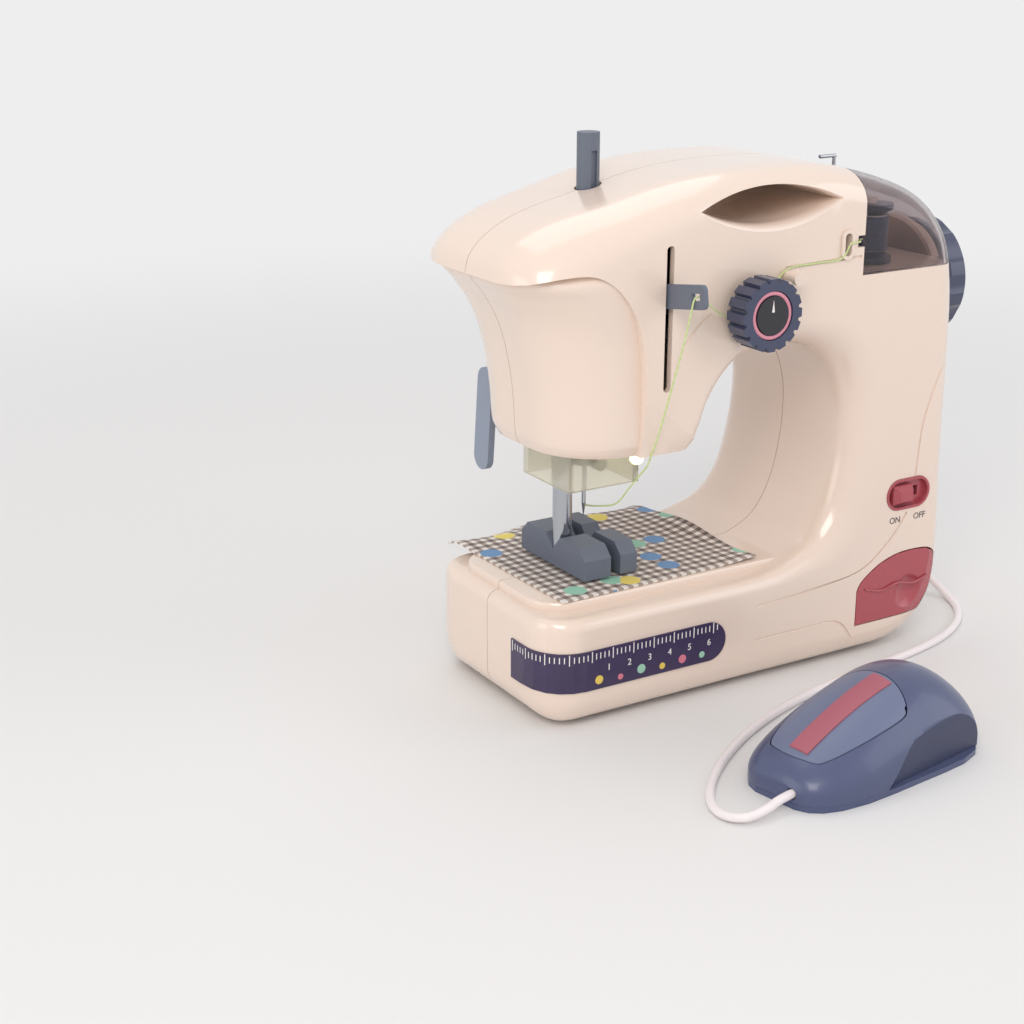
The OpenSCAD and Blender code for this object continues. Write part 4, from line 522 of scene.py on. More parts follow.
# Rear shell's own openings: the screws' counterbores and the presser lifter's slot, and the lug
# moulded on it that the cover's steel hinge pin goes through.
screw_bore_r = 3.2
lifter_x0, lifter_x1, lifter_y, lifter_h = -70.65, -66.55, 17.5, 40.0
hinge_x, hinge_y, hinge_z = (49.13, 61.41, 73.69), 36.285, 149.84
knuckle_r, knuckle_half, hinge_bore_r, lug_foot = 2.3, 3.0, 1.1, 1.2
for s in post_shares:
    bore = disc(screw_bore_r, s[0] * half_l, foot_h + s[1] * rise_h, 32)
    carve(rear, prism("screw_bore", bore, "y", s[2] * half_d, far_y))
carve(rear, block("lifter_slot", lifter_x0, lifter_x1, lifter_y, far_y, head_z - over, head_z + lifter_h))
knuckle, pin_bore = [disc(r, hinge_y, hinge_z, 32) for r in (knuckle_r, hinge_bore_r)]
lug_x0, lug_x1 = hinge_x[1] - knuckle_half, hinge_x[1] + knuckle_half
carve(rear, block("hinge_lug", lug_x0, lug_x1, hinge_y - knuckle_r, hinge_y + knuckle_r,
                  pocket_z - lug_foot, hinge_z), "UNION")
carve(rear, prism("lug_round", knuckle, "x", lug_x0, lug_x1), "UNION")
carve(rear, prism("pin_bore", pin_bore, "x", lug_x0 - over, lug_x1 + over))


def fitted(made, looks, node, body):
    made.data.materials.clear()
    for look in looks:
        made.data.materials.append(look)
    soften(made, 30)
    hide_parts(node)
    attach(made, body)


# Gloss ABS: a clean bright skin with a faint orange-peel ripple from the mould
cream_abs = moulded("gloss_abs_cream", "#ecd8c9", 0.2, mottle_mm=60, grain_mm=2.4, bump=0.03,
                    coat=0.6, vary=0.018)
fitted(front, [cream_abs], "front_shell", "machine")
fitted(rear, [cream_abs], "rear_shell", "machine")

# Clear cover over the spool: a smoked acrylic cap that wraps the arm's right end and swings
# up on a steel pin at the back. Its walls are 1.6 mm, and its edge shows a dark cut line.
cover_wall, cover_gap, cover_back = 1.6, 0.4, 4.6
cover_first, cover_last = 8, 13


def whole(half):
    edge = half[mid_steps:-mid_steps]
    return edge + [(x, -y, z) for x, y, z in edge[::-1]]


def arm_piece(name, inset, extra):
    ribs = body_ribs(inset, rib_steps)
    first = end_steps + cover_first * rib_steps - extra
    last = end_steps + cover_last * rib_steps + extra
    return loft(name, [whole(section(ribs[k], inset, 0, 14, 8)) for k in range(first, last + 1)])


cover = carve(arm_piece("smoked_cap", 0, 2), arm_piece("cover_room", cover_wall, 5))
carve(cover, block("pocket", pocket_x + cover_gap, far_x, -far_y, far_y, pocket_z + cover_gap, far_z),
      "INTERSECT")
carve(cover, block("behind", 0, far_x, hinge_y - cover_back, far_y, 0, hinge_z))
carve(cover, block("lug_room", lug_x0 - cover_gap, lug_x1 + cover_gap, hinge_y - knuckle_r - cover_gap, far_y,
                   pocket_z - lug_foot, hinge_z + knuckle_r + cover_gap))
for x in (hinge_x[0], hinge_x[2]):
    carve(cover, prism("knuckle", knuckle, "x", x - knuckle_half, x + knuckle_half), "UNION")
    carve(cover, prism("pin_bore", pin_bore, "x", x - knuckle_half - over, x + knuckle_half + over))


def clear_plastic(name, settings, haze_mm, least, most):
    made, tree, out = new_material(name)
    place = add(tree, "ShaderNodeTexCoord")
    haze = add(tree, "ShaderNodeTexNoise", {"Scale": 1000 / haze_mm, "Detail": 2.0},
               {"Vector": place.outputs["Object"]})
    gloss = add(tree, "ShaderNodeMapRange", {"To Min": least, "To Max": most}, {"Value": haze.outputs["Fac"]})
    skin = add(tree, "ShaderNodeBsdfPrincipled", settings, {"Roughness": gloss.outputs[0]})
    tree.links.new(skin.outputs[0], out.inputs["Surface"])
    return made


# Smoked acrylic: clear with a brown-grey tint, polished; its thin wall lets most light through
smoked = clear_plastic("smoked_acrylic",
                       {"Base Color": linear("#c3b9ba"), "IOR": 1.12, "Transmission Weight": 1.0,
                        "Specular IOR Level": 0.9, "Coat Weight": 0.6, "Coat Roughness": 0.03},
                       18.0, 0.03, 0.09)
fitted(cover, [smoked], "spool_cover", "cover")

# Winding: navy polyester thread on the flanged spool, one unbroken helix laid turn beside turn
# by a winder, over the layers below it, which show only as a plain core.
spool_x, spool_y, spool_z, spool_h, spool_flange = 60.52, -19.68, 146.84, 21.0, 4.0
wound_r, wound_thread_r, wound_pitch, wound_rise = 6.1, 0.27, 0.5, 0.3
core_r, core_bore_r, core_gap = 5.95, 4.3, 0.05


def fibre(name, kind, settings, dark, light, rough, sheen):
    made, tree, out = new_material(name)
    place = add(tree, "ShaderNodeTexCoord")
    strands = add(tree, kind, settings, {"Vector": place.outputs["Object"]})
    tone = add(tree, "ShaderNodeMix", {"data_type": "RGBA"}, {0: strands.outputs["Fac"]})
    tone.inputs[6].default_value = linear(dark)
    tone.inputs[7].default_value = linear(light)
    skin = add(tree, "ShaderNodeBsdfPrincipled", {"Roughness": rough, "Sheen Weight": sheen},
               {"Base Color": tone.outputs[2]})
    tree.links.new(skin.outputs[0], out.inputs["Surface"])
    return made


def new_group(name, inputs):
    tree = bpy.data.node_groups.new(name, "GeometryNodeTree")
    for label, kind in inputs.items():
        tree.interface.new_socket(label, in_out="INPUT", socket_type="NodeSocket" + kind)
    tree.interface.new_socket("Geometry", in_out="OUTPUT", socket_type="NodeSocketGeometry")
    return tree, add(tree, "NodeGroupInput")


def close_group(tree, shape, look):
    real = add(tree, "GeometryNodeRealizeInstances", {}, {0: shape.outputs[0]})
    dress = add(tree, "GeometryNodeSetMaterial", {"Material": look}, {0: real.outputs[0]})
    add(tree, "NodeGroupOutput", {}, {0: dress.outputs[0]})


# Wound polyester: a dull sheen, broken into fine light and dark strands
wound_look = fibre("wound_thread", "ShaderNodeTexNoise", {"Scale": 1000 / 0.8, "Detail": 2.0},
                   "#39425f", "#5a6588", 0.5, 0.4)
wind, given = new_group("winding", {"Turns": "Float", "Radius": "Float", "Height": "Float", "Thread": "Float",
                                    "Steps": "Int"})
helix = add(wind, "GeometryNodeCurveSpiral", {},
            {"Resolution": given.outputs["Steps"], "Rotations": given.outputs["Turns"],
             "Start Radius": given.outputs["Radius"], "End Radius": given.outputs["Radius"],
             "Height": given.outputs["Height"]})
round_thread = add(wind, "GeometryNodeCurvePrimitiveCircle", {"Resolution": 8},
                   {"Radius": given.outputs["Thread"]})
sweep = add(wind, "GeometryNodeCurveToMesh", {"Fill Caps": True},
            {"Curve": helix.outputs[0], "Profile Curve": round_thread.outputs[0]})
close_group(wind, sweep, wound_look)


def placed_mesh(name, mesh):
    made = bpy.data.objects.new(name, mesh)
    scene.collection.objects.link(made)
    return made


def grow_nodes(name, tree, values, base=None):
    seed = placed_mesh("seed", base or bpy.data.meshes.new(name))
    step = seed.modifiers.new("grow", "NODES")
    step.node_group = tree
    for item in tree.interface.items_tree:
        if item.in_out == "INPUT" and item.name in values:
            step[item.identifier] = values[item.name]
    mesh = plain_mesh(seed)
    bpy.data.objects.remove(seed)
    return placed_mesh(name, mesh)


wound_h = spool_h - 2 * spool_flange
winding = grow_nodes("wound_thread", wind,
                     {"Turns": wound_h / wound_pitch, "Radius": wound_r * MM,
                      "Height": (wound_h - 2 * wound_rise) * MM, "Thread": wound_thread_r * MM, "Steps": 30})
winding_foot = Vector((spool_x, spool_y, spool_z + spool_flange + wound_rise)) * MM
winding.data.transform(Matrix.Translation(winding_foot))
soften(winding, 60)
core = prism("wound_core", disc(core_r, spool_x, spool_y, 40), "z", spool_z + spool_flange + core_gap,
             spool_z + spool_h - spool_flange - core_gap)
carve(core, prism("core_bore", disc(core_bore_r, spool_x, spool_y, 40), "z", spool_z, spool_z + spool_h))
core.data.materials.append(wound_look)
soften(core)
for made in (winding, core):
    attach(made, "spool")
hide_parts("thread_winding")

# Sewing thread: from the spool out through the shell's notch, through the slot guide, along the
# arm's line to the dial, up to the take-up lever's eye and down to the needle. It is one thread,
# made in four lengths.
sewing_r = 0.3
lead_run = [
    (spool_x - 5.5, spool_y - 2.5, spool_z + 11), (50, -28.5, 158), (44, -34.8, 158.5), (41.8, -36, 158.6),
    (40.2, -37.2, 158.6), (38.4, -39.5, 158.5), (34, -40.4, 158.6), (32.9, -40.6, 158), (30, -39.9, 153.5),
    (20, -39.5, 152.9), (8, -39.8, 152.6), (2.5, -40.6, 150), (-1.5, -40.83, 145.5), (-3.5, -40.83, 139),
    (-6.5, -40.83, 134.5), (-11.5, -40.83, 134.2), (-15.5, -40.83, 137.5)]
up_run = [lead_run[-1], (-19, -40.9, 138.8), (-22.8, -41.9, 140.3), (-31, -46.9, 144.8), (-40.6, -53.9, 150),
          (-42.35, -54.6, 150.4)]
down_run = [up_run[-1], (-43.6, -54.5, 149.6), (-44.1, -53.4, 144), (-44.3, -50.2, 133), (-44.8, -44.5, 116),
            (-45.6, -38.8, 99), (-46.2, -34.5, 89)]
needle_run = [down_run[-1], (-46.6, -25, 79), (-47.3, -17.8, 71.3), (-48.3, -7, 67.6), (-48.95, -1.1, 66.4)]
# Twisted polyester: pale green, with a slanting ply drawn coarser than the real one so that it shows
ply = {"Scale": 1000 / 0.5 / (2 * math.pi), "Distortion": 0.6, "bands_direction": "DIAGONAL"}
thread_look = fibre("twisted_polyester_thread", "ShaderNodeTexWave", ply, "#c2d58b", "#cfdf9b", 0.55, 0.3)
lead = strand("thread_lead", spline_run(lead_run, 6), sewing_r, thread_look, rings=2)
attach(lead, "machine")
for name, run, first, last in (("thread_to_lever", up_run, "machine", "take_up"),
                               ("thread_down", down_run, "take_up", "machine"),
                               ("thread_to_needle", needle_run, "machine", "needle_carriage")):
    line = strand(name, spline_run(run, 6), sewing_r, thread_look, rings=2)
    mesh = bpy.data.meshes.new_from_object(line)
    bpy.data.objects.remove(line)
    made = placed_mesh(name, mesh)
    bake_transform(made)

# Cloth sample: a thin cotton laid on the bed, woven in an off-white and brown check, with printed
# dots. Its edges were cut with shears and lift in soft waves, and the needle has made a hole.
cloth_w, cloth_l, cloth_t, cloth_gap = 84.0, 78.0, 0.6, 0.15
cloth_x, cloth_y, cloth_turn = -0.4 * half_l, 0.22 * half_d, math.radians(1)
edge_lift, edge_waves, edge_phase, edge_droop, droop_from = 2.4, 504.0, 40.0, 3.0, 0.86
needle_prick_r, cloth_steps = 1.1, 72
check_mm, dot_mm, dot_share, yarn_mm = 4.2, 15.0, 0.27, 0.7


def cloth_lift(u, v):
    edge = max(0.0, 2 * u - 1, 2 * v - 1) ** 6
    hang = max(0.0, v - droop_from) / (1 - droop_from)
    wave = (1 + math.sin(math.radians(edge_waves * (u + v) + edge_phase))) / 2
    return edge_lift * edge * wave - edge_droop * hang * hang


row = cloth_steps + 1
points = []
for j in range(row):
    for i in range(row):
        u, v = i / cloth_steps, j / cloth_steps
        x, y = (u - 0.5) * cloth_w, (v - 0.5) * cloth_l
        points.append((cloth_x + x * math.cos(cloth_turn) - y * math.sin(cloth_turn),
                       cloth_y + x * math.sin(cloth_turn) + y * math.cos(cloth_turn),
                       bed_h + cloth_gap + cloth_lift(u, v)))
quads = [(j * row + i, j * row + i + 1, (j + 1) * row + i + 1, (j + 1) * row + i)
         for j in range(cloth_steps) for i in range(cloth_steps)]
cloth = solid("cloth_sample", points, quads)
flat = cloth.data.uv_layers.new(name="weave")
for corner in cloth.data.loops:
    k = corner.vertex_index
    u, v = k % row / cloth_steps, k // row / cloth_steps
    flat.data[corner.index].uv = (u * cloth_w * MM, v * cloth_l * MM)

# Woven cotton: a matt two-way check under opaque dots; its yarn is drawn coarser so that it shows
gingham, tree, out = new_material("printed_cotton_check")
spots = add(tree, "ShaderNodeUVMap", {"uv_map": "weave"})
apart = add(tree, "ShaderNodeSeparateXYZ", {}, {0: spots.outputs[0]})
band = []
for axis in (0, 1):
    cycle = add(tree, "ShaderNodeMath", {"operation": "MULTIPLY", 1: 1000 / check_mm},
                {0: apart.outputs[axis]})
    part = add(tree, "ShaderNodeMath", {"operation": "FRACT"}, {0: cycle.outputs[0]})
    band.append(add(tree, "ShaderNodeMath", {"operation": "GREATER_THAN", 1: 0.5}, {0: part.outputs[0]}))
both = add(tree, "ShaderNodeMath", {"operation": "ADD"}, {0: band[0].outputs[0], 1: band[1].outputs[0]})
half = add(tree, "ShaderNodeMath", {"operation": "MULTIPLY", 1: 0.5}, {0: both.outputs[0]})
check = add(tree, "ShaderNodeValToRGB", {}, {0: half.outputs[0]})
cells = add(tree, "ShaderNodeTexVoronoi",
            {"Scale": 1000 / dot_mm, "Randomness": 0.75, "voronoi_dimensions": "2D"},
            {"Vector": spots.outputs[0]})
inside = add(tree, "ShaderNodeMath", {"operation": "LESS_THAN", 1: dot_share}, {0: cells.outputs["Distance"]})
pick = add(tree, "ShaderNodeSeparateColor", {}, {0: cells.outputs["Color"]})
dot_hue = add(tree, "ShaderNodeValToRGB", {}, {0: pick.outputs[0]})
for ramp, stops in ((check.color_ramp, ((0.0, "#e9e3dc"), (0.25, "#a3948b"), (0.75, "#5d4d48"))),
                    (dot_hue.color_ramp, ((0.0, "#e6d25c"), (0.36, "#5f8fc0"), (0.68, "#8fc8b0")))):
    ramp.interpolation = "CONSTANT"
    for k, (at, code) in enumerate(stops):
        stop = ramp.elements[k] if k < 2 else ramp.elements.new(at)
        stop.position = at
        stop.color = linear(code)
chosen = add(tree, "ShaderNodeMath", {"operation": "GREATER_THAN", 1: 0.35}, {0: pick.outputs[1]})
shown = add(tree, "ShaderNodeMath", {"operation": "MULTIPLY"}, {0: inside.outputs[0], 1: chosen.outputs[0]})
printed = add(tree, "ShaderNodeMix", {"data_type": "RGBA"},
              {0: shown.outputs[0], 6: check.outputs[0], 7: dot_hue.outputs[0]})
yarn = add(tree, "ShaderNodeTexWave", {"Scale": 1000 / yarn_mm / (2 * math.pi), "Distortion": 0.5},
           {"Vector": spots.outputs[0]})
weave = add(tree, "ShaderNodeBump", {"Strength": 0.25, "Distance": 0.1 * MM}, {"Height": yarn.outputs["Fac"]})
cotton = add(tree, "ShaderNodeBsdfPrincipled", {"Roughness": 0.85, "Sheen Weight": 0.25},
             {"Base Color": printed.outputs[2], "Normal": weave.outputs[0]})
tree.links.new(cotton.outputs[0], out.inputs["Surface"])
cloth.data.materials.append(gingham)
thick = cloth.modifiers.new("thick", "SOLIDIFY")
thick.thickness = cloth_t * MM
thick.offset = 1
cloth.data = plain_mesh(cloth)
cloth.modifiers.clear()
carve(cloth, prism("needle_prick", disc(needle_prick_r, needle_x, 0, 20), "z",
                   bed_h - 3 * over, bed_h + 6 * over))
soften(cloth, 50)
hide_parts("sample_cloth")
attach(cloth, "machine")

# Foot pedal's cover: a navy ABS moulding shaped like a mouse, with a hollowed panel on each side,
# its flat face painted a darker navy as shade, and an opening for the treadle. The cord goes into
# its nose. It stands in front of the machine, turned a little.
pedal_x, pedal_y, pedal_turn = -9.0, -107.0, math.radians(10)
pedal_half, pedal_mid, pedal_h, base_t, pedal_lip, pedal_wall = 42.0, 24.0, 30.0, 2.0, 3.0, 2.0
pedal_far, pedal_top, treadle_gap, side_thick = 80.0, 60.0, 0.4, 2.0
entry_y, entry_z, entry_r, entry_x0, entry_x1 = -6.6, 5.0, 1.9, -60.0, -36.0
panel_y = 0.86 * pedal_mid
# A pedal ring's shares: x, half width, height
pedal_shares = [
    [-1, 0.34, 0.26], [-0.96, 0.52, 0.36], [-0.88, 0.66, 0.45], [-0.74, 0.78, 0.56], [-0.5, 0.88, 0.71],
    [-0.2, 0.93, 0.86], [0.1, 0.96, 0.96], [0.35, 0.99, 1], [0.6, 1, 0.95], [0.8, 0.93, 0.79],
    [0.92, 0.78, 0.58], [0.98, 0.6, 0.4], [1, 0.45, 0.28]]
treadle_shares = [
    [-0.86, 0], [-0.83, -0.3], [-0.78, -0.46], [-0.45, -0.62], [0, -0.68], [0.1, -0.62], [0.18, -0.32],
    [0.2, 0], [0.18, 0.32], [0.1, 0.62], [0, 0.68], [-0.45, 0.62], [-0.78, 0.46], [-0.83, 0.3]]
panel_shares = [
    [-0.3, 0], [-0.12, 0.28], [0.06, 0.46], [0.25, 0.57], [0.42, 0.6], [0.6, 0.55], [0.75, 0.42],
    [0.86, 0.22], [0.9, 0]]


def pedal_ring(s, inset, side):
    x, w = s[0] * (pedal_half - inset), s[1] * pedal_mid - side
    lip = base_t + pedal_lip
    h = max(s[2] * pedal_h - inset, lip + least_r)
    turn = np.radians(np.linspace(0, 180, 41))
    arc = [(x, w * math.cos(a), lip + (h - lip) * math.sin(a)) for a in turn]
    return [(x, w, base_t), *arc, (x, -w, base_t)]


def pedal_form(name, inset, side, first=0, last=-1):
    rings = [pedal_ring(s, inset, side) for s in spline_run(pedal_shares, 8)]
    return loft(name, rings[first:last] + [rings[last]])


def rounded(outline, times):
    for _ in range(times):
        pairs = list(zip(outline, outline[1:] + outline[:1]))
        outline = [[a[k] + (b[k] - a[k]) * t for k in (0, 1)] for a, b in pairs for t in (0.25, 0.75)]
    return outline


def set_down(made):
    place = Matrix.Translation((pedal_x * MM, pedal_y * MM, 0))
    made.data.transform(place @ Matrix.Rotation(pedal_turn, 4, "Z"))


treadle_plan = [(s[0] * pedal_half, s[1] * pedal_mid) for s in rounded(treadle_shares, 3)]
housing = carve(pedal_form("pedal_cover", 0, 0),
                pedal_form("pedal_room", pedal_wall, pedal_wall + side_thick))
carve(housing, block("under", -pedal_far, pedal_far, -pedal_top, pedal_top, 0, base_t + least_r))
carve(housing, prism("treadle_opening", grown(treadle_plan, treadle_gap), "z", base_t + pedal_lip, pedal_top))
for side in (-1, 1):
    low, high = sorted((side * pedal_top, side * panel_y))
    panel = [(s[0] * pedal_half, base_t + s[1] * pedal_h) for s in spline_run(panel_shares, 4)]
    carve(housing, prism("panel", panel, "y", low, high))
carve(housing, prism("cord_entry", disc(entry_r, entry_y, entry_z, 20), "x", entry_x0, entry_x1))
# Satin ABS: a soft broad highlight on navy; the hollowed panels are flatter, and painted darker as shade
pedal_abs = moulded("satin_abs_pedal_navy", "#4b5375", 0.32, mottle_mm=20, grain_mm=1.0, bump=0.08, coat=0.2)
pedal_panel_painted_shade = moulded("satin_abs_pedal_painted_shade", "#363c58", 0.4, mottle_mm=20, grain_mm=0.8, bump=0.1)
fitted(housing, [pedal_abs, pedal_panel_painted_shade], "pedal_housing", "machine")
# The flat faces of the hollowed panels take the darker navy: painted shade for the hollow
for face in housing.data.polygons:
    if abs(abs(face.center.y) - panel_y * MM) < 1e-5 and abs(face.normal.y) > 0.9999:
        face.material_index = 1
set_down(housing)

# Treadle: a grey ABS plate that follows the pedal's top and rocks on a steel pin in two knuckles
# under it. A rose strip of soft plastic is glued along it.
pin_x, pin_z, boss_r, boss_bore_r, boss_w, boss_places = 4.2, 22.4, 2.6, 1.4, 6.0, (-10.8, 4.8)
plate_first, plate_last, room_first, room_last = 12, 60, 8, 64
strip_t, strip_gap = 0.5, 0.06
strip_shares = [[-0.8, -0.22], [0.15, -0.26], [0.16, 0.06], [-0.8, 0.08]]
treadle = carve(pedal_form("treadle_top", 0, 0, plate_first, plate_last),
                pedal_form("treadle_room", pedal_wall, pedal_wall, room_first, room_last))
carve(treadle, prism("treadle_plan", grown(treadle_plan, 0), "z", base_t + pedal_lip, pedal_top), "INTERSECT")
for y in boss_places:
    carve(treadle, prism("boss", disc(boss_r, pin_x, pin_z, 32), "y", y, y + boss_w), "UNION")
carve(treadle, prism("boss_bore", disc(boss_bore_r, pin_x, pin_z, 32), "y", -20 * over, 20 * over))
# Satin ABS, lighter: a dry grey with a fine sandy texture for grip
treadle_look = moulded("satin_abs_treadle_grey", "#6a7390", 0.38, mottle_mm=16, grain_mm=0.8, bump=0.12)
fitted(treadle, [treadle_look], "treadle", "treadle_plate")
stripe = carve(pedal_form("treadle_strip", -strip_t, -strip_t, plate_first, plate_last),
               pedal_form("strip_room", -strip_gap, -strip_gap, room_first, room_last))
strip_plan = [(s[0] * pedal_half, s[1] * pedal_mid) for s in strip_shares]
carve(stripe, prism("strip_plan", strip_plan, "z", base_t + pedal_lip, pedal_top), "INTERSECT")
# Soft plastic: rose, nearly matt, with a pebbled skin
rose_look = moulded("soft_rose_strip", "#a95d6b", 0.5, mottle_mm=8, grain_mm=0.7, bump=0.15)
fitted(stripe, [rose_look], "treadle_stripe", "treadle_plate")
for made in (treadle, stripe):
    set_down(made)

# Pieces that keep the shape they were built with: dial, lever, handwheel, spool, switch, drawer,
# presser, needle, shroud, lamp, feet, label and the drive inside. They are moulded plastics, turned
# and plated steel, rubber and film, and each takes the finish of its material slot.
# Gloss ABS, navy: a clean highlight along the knurls and the wheel's rim
navy_abs = moulded("gloss_abs_navy", "#3d435c", 0.28, mottle_mm=25, grain_mm=1.2, bump=0.06, coat=0.15)
# Matt ABS: a dull slate grey with a fine spark-eroded grain
grey_abs = moulded("matt_abs_dark_grey", "#646b79", 0.45, mottle_mm=14, grain_mm=0.6, bump=0.12)
# Satin ABS, blue-grey: paler, with a soft sheen on the paddle's flat side
lever_grey = moulded("satin_abs_blue_grey", "#8b94a6", 0.4, mottle_mm=14, grain_mm=0.7, bump=0.08)
# Gloss ABS, red: bright, so the drawer's dished front shows a round reflection
red_abs = moulded("gloss_abs_red", "#ad4a54", 0.26, mottle_mm=18, grain_mm=1.2, bump=0.06, coat=0.25)
# Matt ABS, black: nearly no reflection, so the dial's cap reads as a dark disc
black_abs = moulded("matt_abs_black", "#25252b", 0.42, mottle_mm=10, grain_mm=0.6, bump=0.1)
# Plain ABS: dull and grainy, as inner parts are left from the mould
inner_abs = moulded("plain_abs_inner", "#4a4d55", 0.55, mottle_mm=14, grain_mm=0.7, bump=0.1)
# Moulded rubber: dark, dead matt and pebbled
foot_rubber = moulded("moulded_rubber", "#3a3a3f", 0.75, mottle_mm=8, grain_mm=0.4, bump=0.3)
# Label film: a violet ink under a smooth, half-glossy face
label_film = moulded("printed_label_film", "#3b3052", 0.3, mottle_mm=9, grain_mm=0.5, bump=0.03, vary=0.25)


def plated(name, code, rough, line_mm):
    made, tree, out = new_material(name)
    place = add(tree, "ShaderNodeTexCoord")
    draw = add(tree, "ShaderNodeMapping", {"Scale": (1.0, 1.0, 0.06)}, {"Vector": place.outputs["Object"]})
    lines = add(tree, "ShaderNodeTexNoise", {"Scale": 1000 / line_mm, "Detail": 2.0},
                {"Vector": draw.outputs[0]})
    gloss = add(tree, "ShaderNodeMapRange", {"To Min": max(rough - 0.06, 0.03), "To Max": rough + 0.08},
                {"Value": lines.outputs["Fac"]})
    metal = add(tree, "ShaderNodeBsdfPrincipled", {"Base Color": linear(code), "Metallic": 1.0},
                {"Roughness": gloss.outputs[0]})
    tree.links.new(metal.outputs[0], out.inputs["Surface"])
    return made


# Turned steel: grey, with fine drawn lines up the bar; chrome plate: the same, nearly a mirror;
# turned brass: a warm yellow, seen only in the pinion
steel_look = plated("turned_steel", "#b6b8bc", 0.3, 0.4)
chrome_look = plated("chrome_plate", "#b4b7bd", 0.12, 0.8)
brass_look = plated("turned_brass", "#cda456", 0.28, 0.4)
# Milky polycarbonate: a cloudy, faintly yellow box that blurs what stands behind it
milky = clear_plastic("milky_polycarbonate",
                      {"Base Color": linear("#f3efe0"), "IOR": 1.2, "Transmission Weight": 0.75},
                      6.0, 0.12, 0.3)
# Lit lamp lens: a small warm-green glow, a little uneven across the lens
lamp_look, tree, out = new_material("lit_lamp_lens")
place = add(tree, "ShaderNodeTexCoord")
die = add(tree, "ShaderNodeTexNoise", {"Scale": 1000 / 2.0}, {"Vector": place.outputs["Object"]})
glow = add(tree, "ShaderNodeMapRange", {"To Min": 1.6, "To Max": 2.6}, {"Value": die.outputs["Fac"]})
bulb = add(tree, "ShaderNodeBsdfPrincipled",
           {"Base Color": linear("#fff3cf"), "Roughness": 0.2, "Emission Color": linear("#f6ffb4")},
           {"Emission Strength": glow.outputs[0]})
tree.links.new(bulb.outputs[0], out.inputs["Surface"])
finish_of = {
    "cream": cream_abs, "navy": navy_abs, "dark_grey": grey_abs, "lifter_grey": lever_grey, "red": red_abs,
    "steel": steel_look, "chrome": chrome_look, "brass": brass_look, "smoked": smoked, "clear": milky,
    "black": black_abs, "inner": inner_abs, "label": label_film, "thread": wound_look, "cloth": gingham,
    "cord_white": cord_pvc, "foot_rubber": foot_rubber, "pedal_navy": pedal_abs, "pedal_grey": treadle_look,
    "rose": rose_look}
for part in frame["record"]["subparts"]:
    look = lamp_look if part["node"] == "work_light" else finish_of[part["material_slot"]]
    for place in frame["nodes"][part["node"]].material_slots:
        place.material = look

# Dial face: a pink ring pressed into the dial's dish round its black cap, and a plain white index
# mark pad-printed on the cap. Both turn with the dial.
dial_front, ring_steps = -51.93, 72
# The ring's profile: radius, and depth behind the dial's front
ring_profile = [(6.75, 1.55), (6.85, 0.5), (7.2, 0.3), (7.8, 0.3), (8.15, 0.5), (8.25, 1.55)]
mark_half, mark_low, mark_high, mark_proud, mark_sunk = 0.55, 1.2, 5.2, 0.12, 0.2
# Painted plastic: an even pink, half glossy; pad-printed ink: a thin dry white
pink_look = moulded("painted_pink_ring", "#d98f9f", 0.4, mottle_mm=6, grain_mm=0.5, bump=0.05)
white_ink = moulded("pad_printed_white", "#efeae6", 0.5, mottle_mm=6, grain_mm=0.4, bump=0.03)
n = len(ring_profile)
turns = 2 * math.pi * np.arange(ring_steps) / ring_steps
points = [(dial_x + r * math.cos(a), dial_front + y, dial_z + r * math.sin(a))
          for a in turns for r, y in ring_profile]
rows = [(k * n, (k + 1) % ring_steps * n) for k in range(ring_steps)]
quads = [(a + j, b + j, b + (j + 1) % n, a + (j + 1) % n) for a, b in rows for j in range(n)]
pink_ring = solid("dial_ring", points, quads)
pink_ring.data.materials.append(pink_look)
soften(pink_ring)
arrow = [(dial_x - mark_half, dial_z + mark_low), (dial_x + mark_half, dial_z + mark_low),
         (dial_x, dial_z + mark_high)]
mark = prism("dial_mark", arrow, "y", dial_front - mark_proud, dial_front + mark_sunk)
mark.data.materials.append(white_ink)
for made, slot in ((pink_ring, "rose"), (mark, "black")):
    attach(made, "tension")

# Ruler strip: a printed film stuck round the base's front corner. White ticks run along its
# upper edge, with figures and a few plain dots below them, all in screen-printed ink.
strip_y, strip_back, strip_end, corner_x, corner_y, corner_r = -41.62, -18.4, -19.0, -74.0, -26.0, 15.62
tick_z, tick_space, tick_size = 27.3, 1.7, (0.35, 0.1, 2.2)
figure_size, figure_x, figure_space, figure_z, ink_t, dot_half = 3.4, -73.5, 8.5, 22.2, 0.04, 0.05
dot_places = [(-69, 18.4, 1.6), (-60.2, 17.6, 1.1), (-51.5, 18.6, 1.7), (-42.6, 17.7, 1.2), (-34, 18.4, 1.6),
              (-25.5, 18.2, 1.2)]
tick_tree, given = new_group("ruler_ticks", {"Path": "Geometry", "Spacing": "Float", "Size": "Vector"})
spread = add(tick_tree, "GeometryNodeResampleCurve", {"mode": "LENGTH"},
             {"Curve": given.outputs["Path"], "Length": given.outputs["Spacing"]})
bar = add(tick_tree, "GeometryNodeMeshCube", {}, {"Size": given.outputs["Size"]})
along = add(tick_tree, "GeometryNodeInputTangent")
facing = add(tick_tree, "FunctionNodeAlignRotationToVector", {"axis": "X"}, {"Vector": along.outputs[0]})
rank = add(tick_tree, "GeometryNodeInputIndex")
fifth = add(tick_tree, "ShaderNodeMath", {"operation": "MODULO", 1: 5.0}, {0: rank.outputs[0]})
longer = add(tick_tree, "ShaderNodeMath", {"operation": "LESS_THAN", 1: 0.5}, {0: fifth.outputs[0]})
tall = add(tick_tree, "ShaderNodeMath", {"operation": "MULTIPLY_ADD", 1: 0.8, 2: 1.0}, {0: longer.outputs[0]})
stretch = add(tick_tree, "ShaderNodeCombineXYZ", {0: 1.0, 1: 1.0}, {2: tall.outputs[0]})
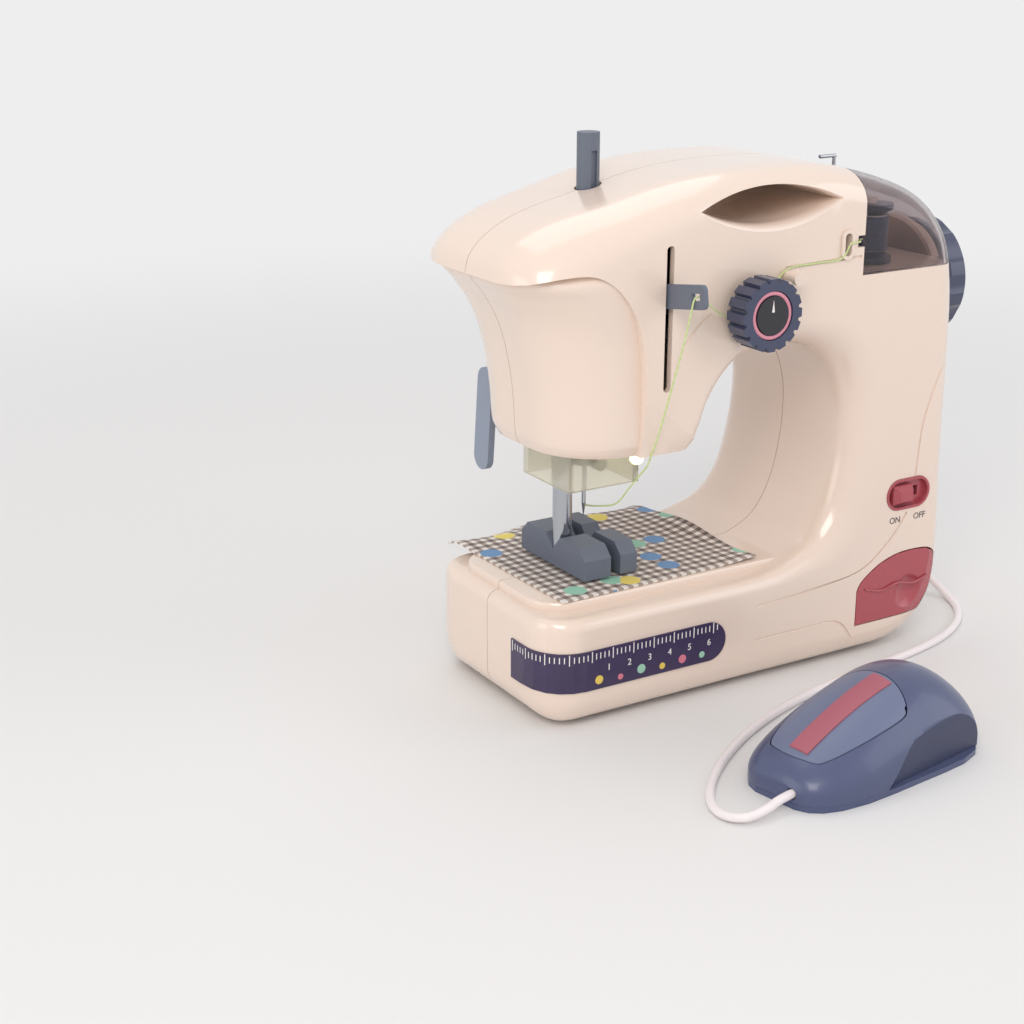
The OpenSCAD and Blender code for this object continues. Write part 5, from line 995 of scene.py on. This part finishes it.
copies = add(tick_tree, "GeometryNodeInstanceOnPoints", {},
             {"Points": spread.outputs[0], "Instance": bar.outputs[0], "Rotation": facing.outputs[0],
              "Scale": stretch.outputs[0]})
close_group(tick_tree, copies, white_ink)
round_corner = [(corner_x + corner_r * math.cos(a), corner_y + corner_r * math.sin(a))
                for a in np.radians(np.linspace(180, 270, 25))]
tick_path = bpy.data.curves.new("tick_path", "CURVE")
tick_path.dimensions = "3D"
run = tick_path.splines.new("POLY")
places = [(corner_x - corner_r, strip_back), *round_corner, (strip_end, strip_y)]
run.points.add(len(places) - 1)
for spot, (x, y) in zip(run.points, places):
    spot.co = (x * MM, y * MM, tick_z * MM, 1)
tick_values = {"Spacing": tick_space * MM, "Size": tuple(v * MM for v in tick_size)}
ticks = grow_nodes("ruler_ticks", tick_tree, tick_values, tick_path)
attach(ticks, "machine")


def printed_text(name, words, size, x, y, z, look):
    text = bpy.data.curves.new(name, "FONT")
    text.body = words
    text.size = size * MM
    text.align_x = "CENTER"
    text.align_y = "CENTER"
    text.extrude = ink_t * MM
    holder = placed_mesh(name, text)
    mesh = plain_mesh(holder)
    bpy.data.objects.remove(holder)
    mesh.transform(Matrix.Translation((x * MM, y * MM, z * MM)) @ Matrix.Rotation(math.pi / 2, 4, "X"))
    mesh.materials.clear()
    mesh.materials.append(look)
    made = placed_mesh(name, mesh)
    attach(made, "machine")
    return made


for k in range(1, 7):
    figure = printed_text("ruler_figure_%d" % k, str(k), figure_size, figure_x + figure_space * k,
                          strip_y, figure_z, white_ink)
# Screen-printed ink: opaque, flat spots of yellow, pink and mint
dot_looks = [moulded("printed_%s_dot" % hue, code, 0.4, mottle_mm=4, grain_mm=0.4, bump=0.03)
             for hue, code in (("yellow", "#e3c65a"), ("pink", "#d5798c"), ("mint", "#9cc9b2"))]
for k, (x, z, r) in enumerate(dot_places):
    dot = prism("ruler_dot_%d" % (k + 1), disc(r, x, z, 28), "y", strip_y - dot_half, strip_y + dot_half)
    dot.data.materials.append(dot_looks[k % 3])
    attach(dot, "machine")

# Switch words: small dark letters pad-printed on the column under the red slide switch, set
# against the curved cream face wherever it stands.
words_z, words_size, words_proud = 52.2, 3.4, 0.06
# Pad-printed ink: a thin dry brown-black
dark_ink = moulded("pad_printed_dark", "#4a4145", 0.5, mottle_mm=6, grain_mm=0.4, bump=0.03)
for name, words, x in (("switch_on", "ON", 63.2), ("switch_off", "OFF", 75.4)):
    face = front.ray_cast((x * MM, -far_y * MM, words_z * MM), (0, 1, 0))[1]
    printed_text(name, words, words_size, x, face.y / MM - words_proud, words_z, dark_ink)

# Drawer pull: a waved finger line across the drawer's red front, a raised bead of the same gloss
# ABS, moulded in one with it. It slides out with the drawer.
pull_r = 0.45
pull_run = [(50, -41.05, 27.5), (58, -41.1, 25.6), (66, -41.1, 27.2), (74, -41.05, 25.8), (81, -40.8, 27.4)]
pull_line = strand("drawer_pull", spline_run(pull_run, 8), pull_r, red_abs)
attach(pull_line, "drawer_tray")
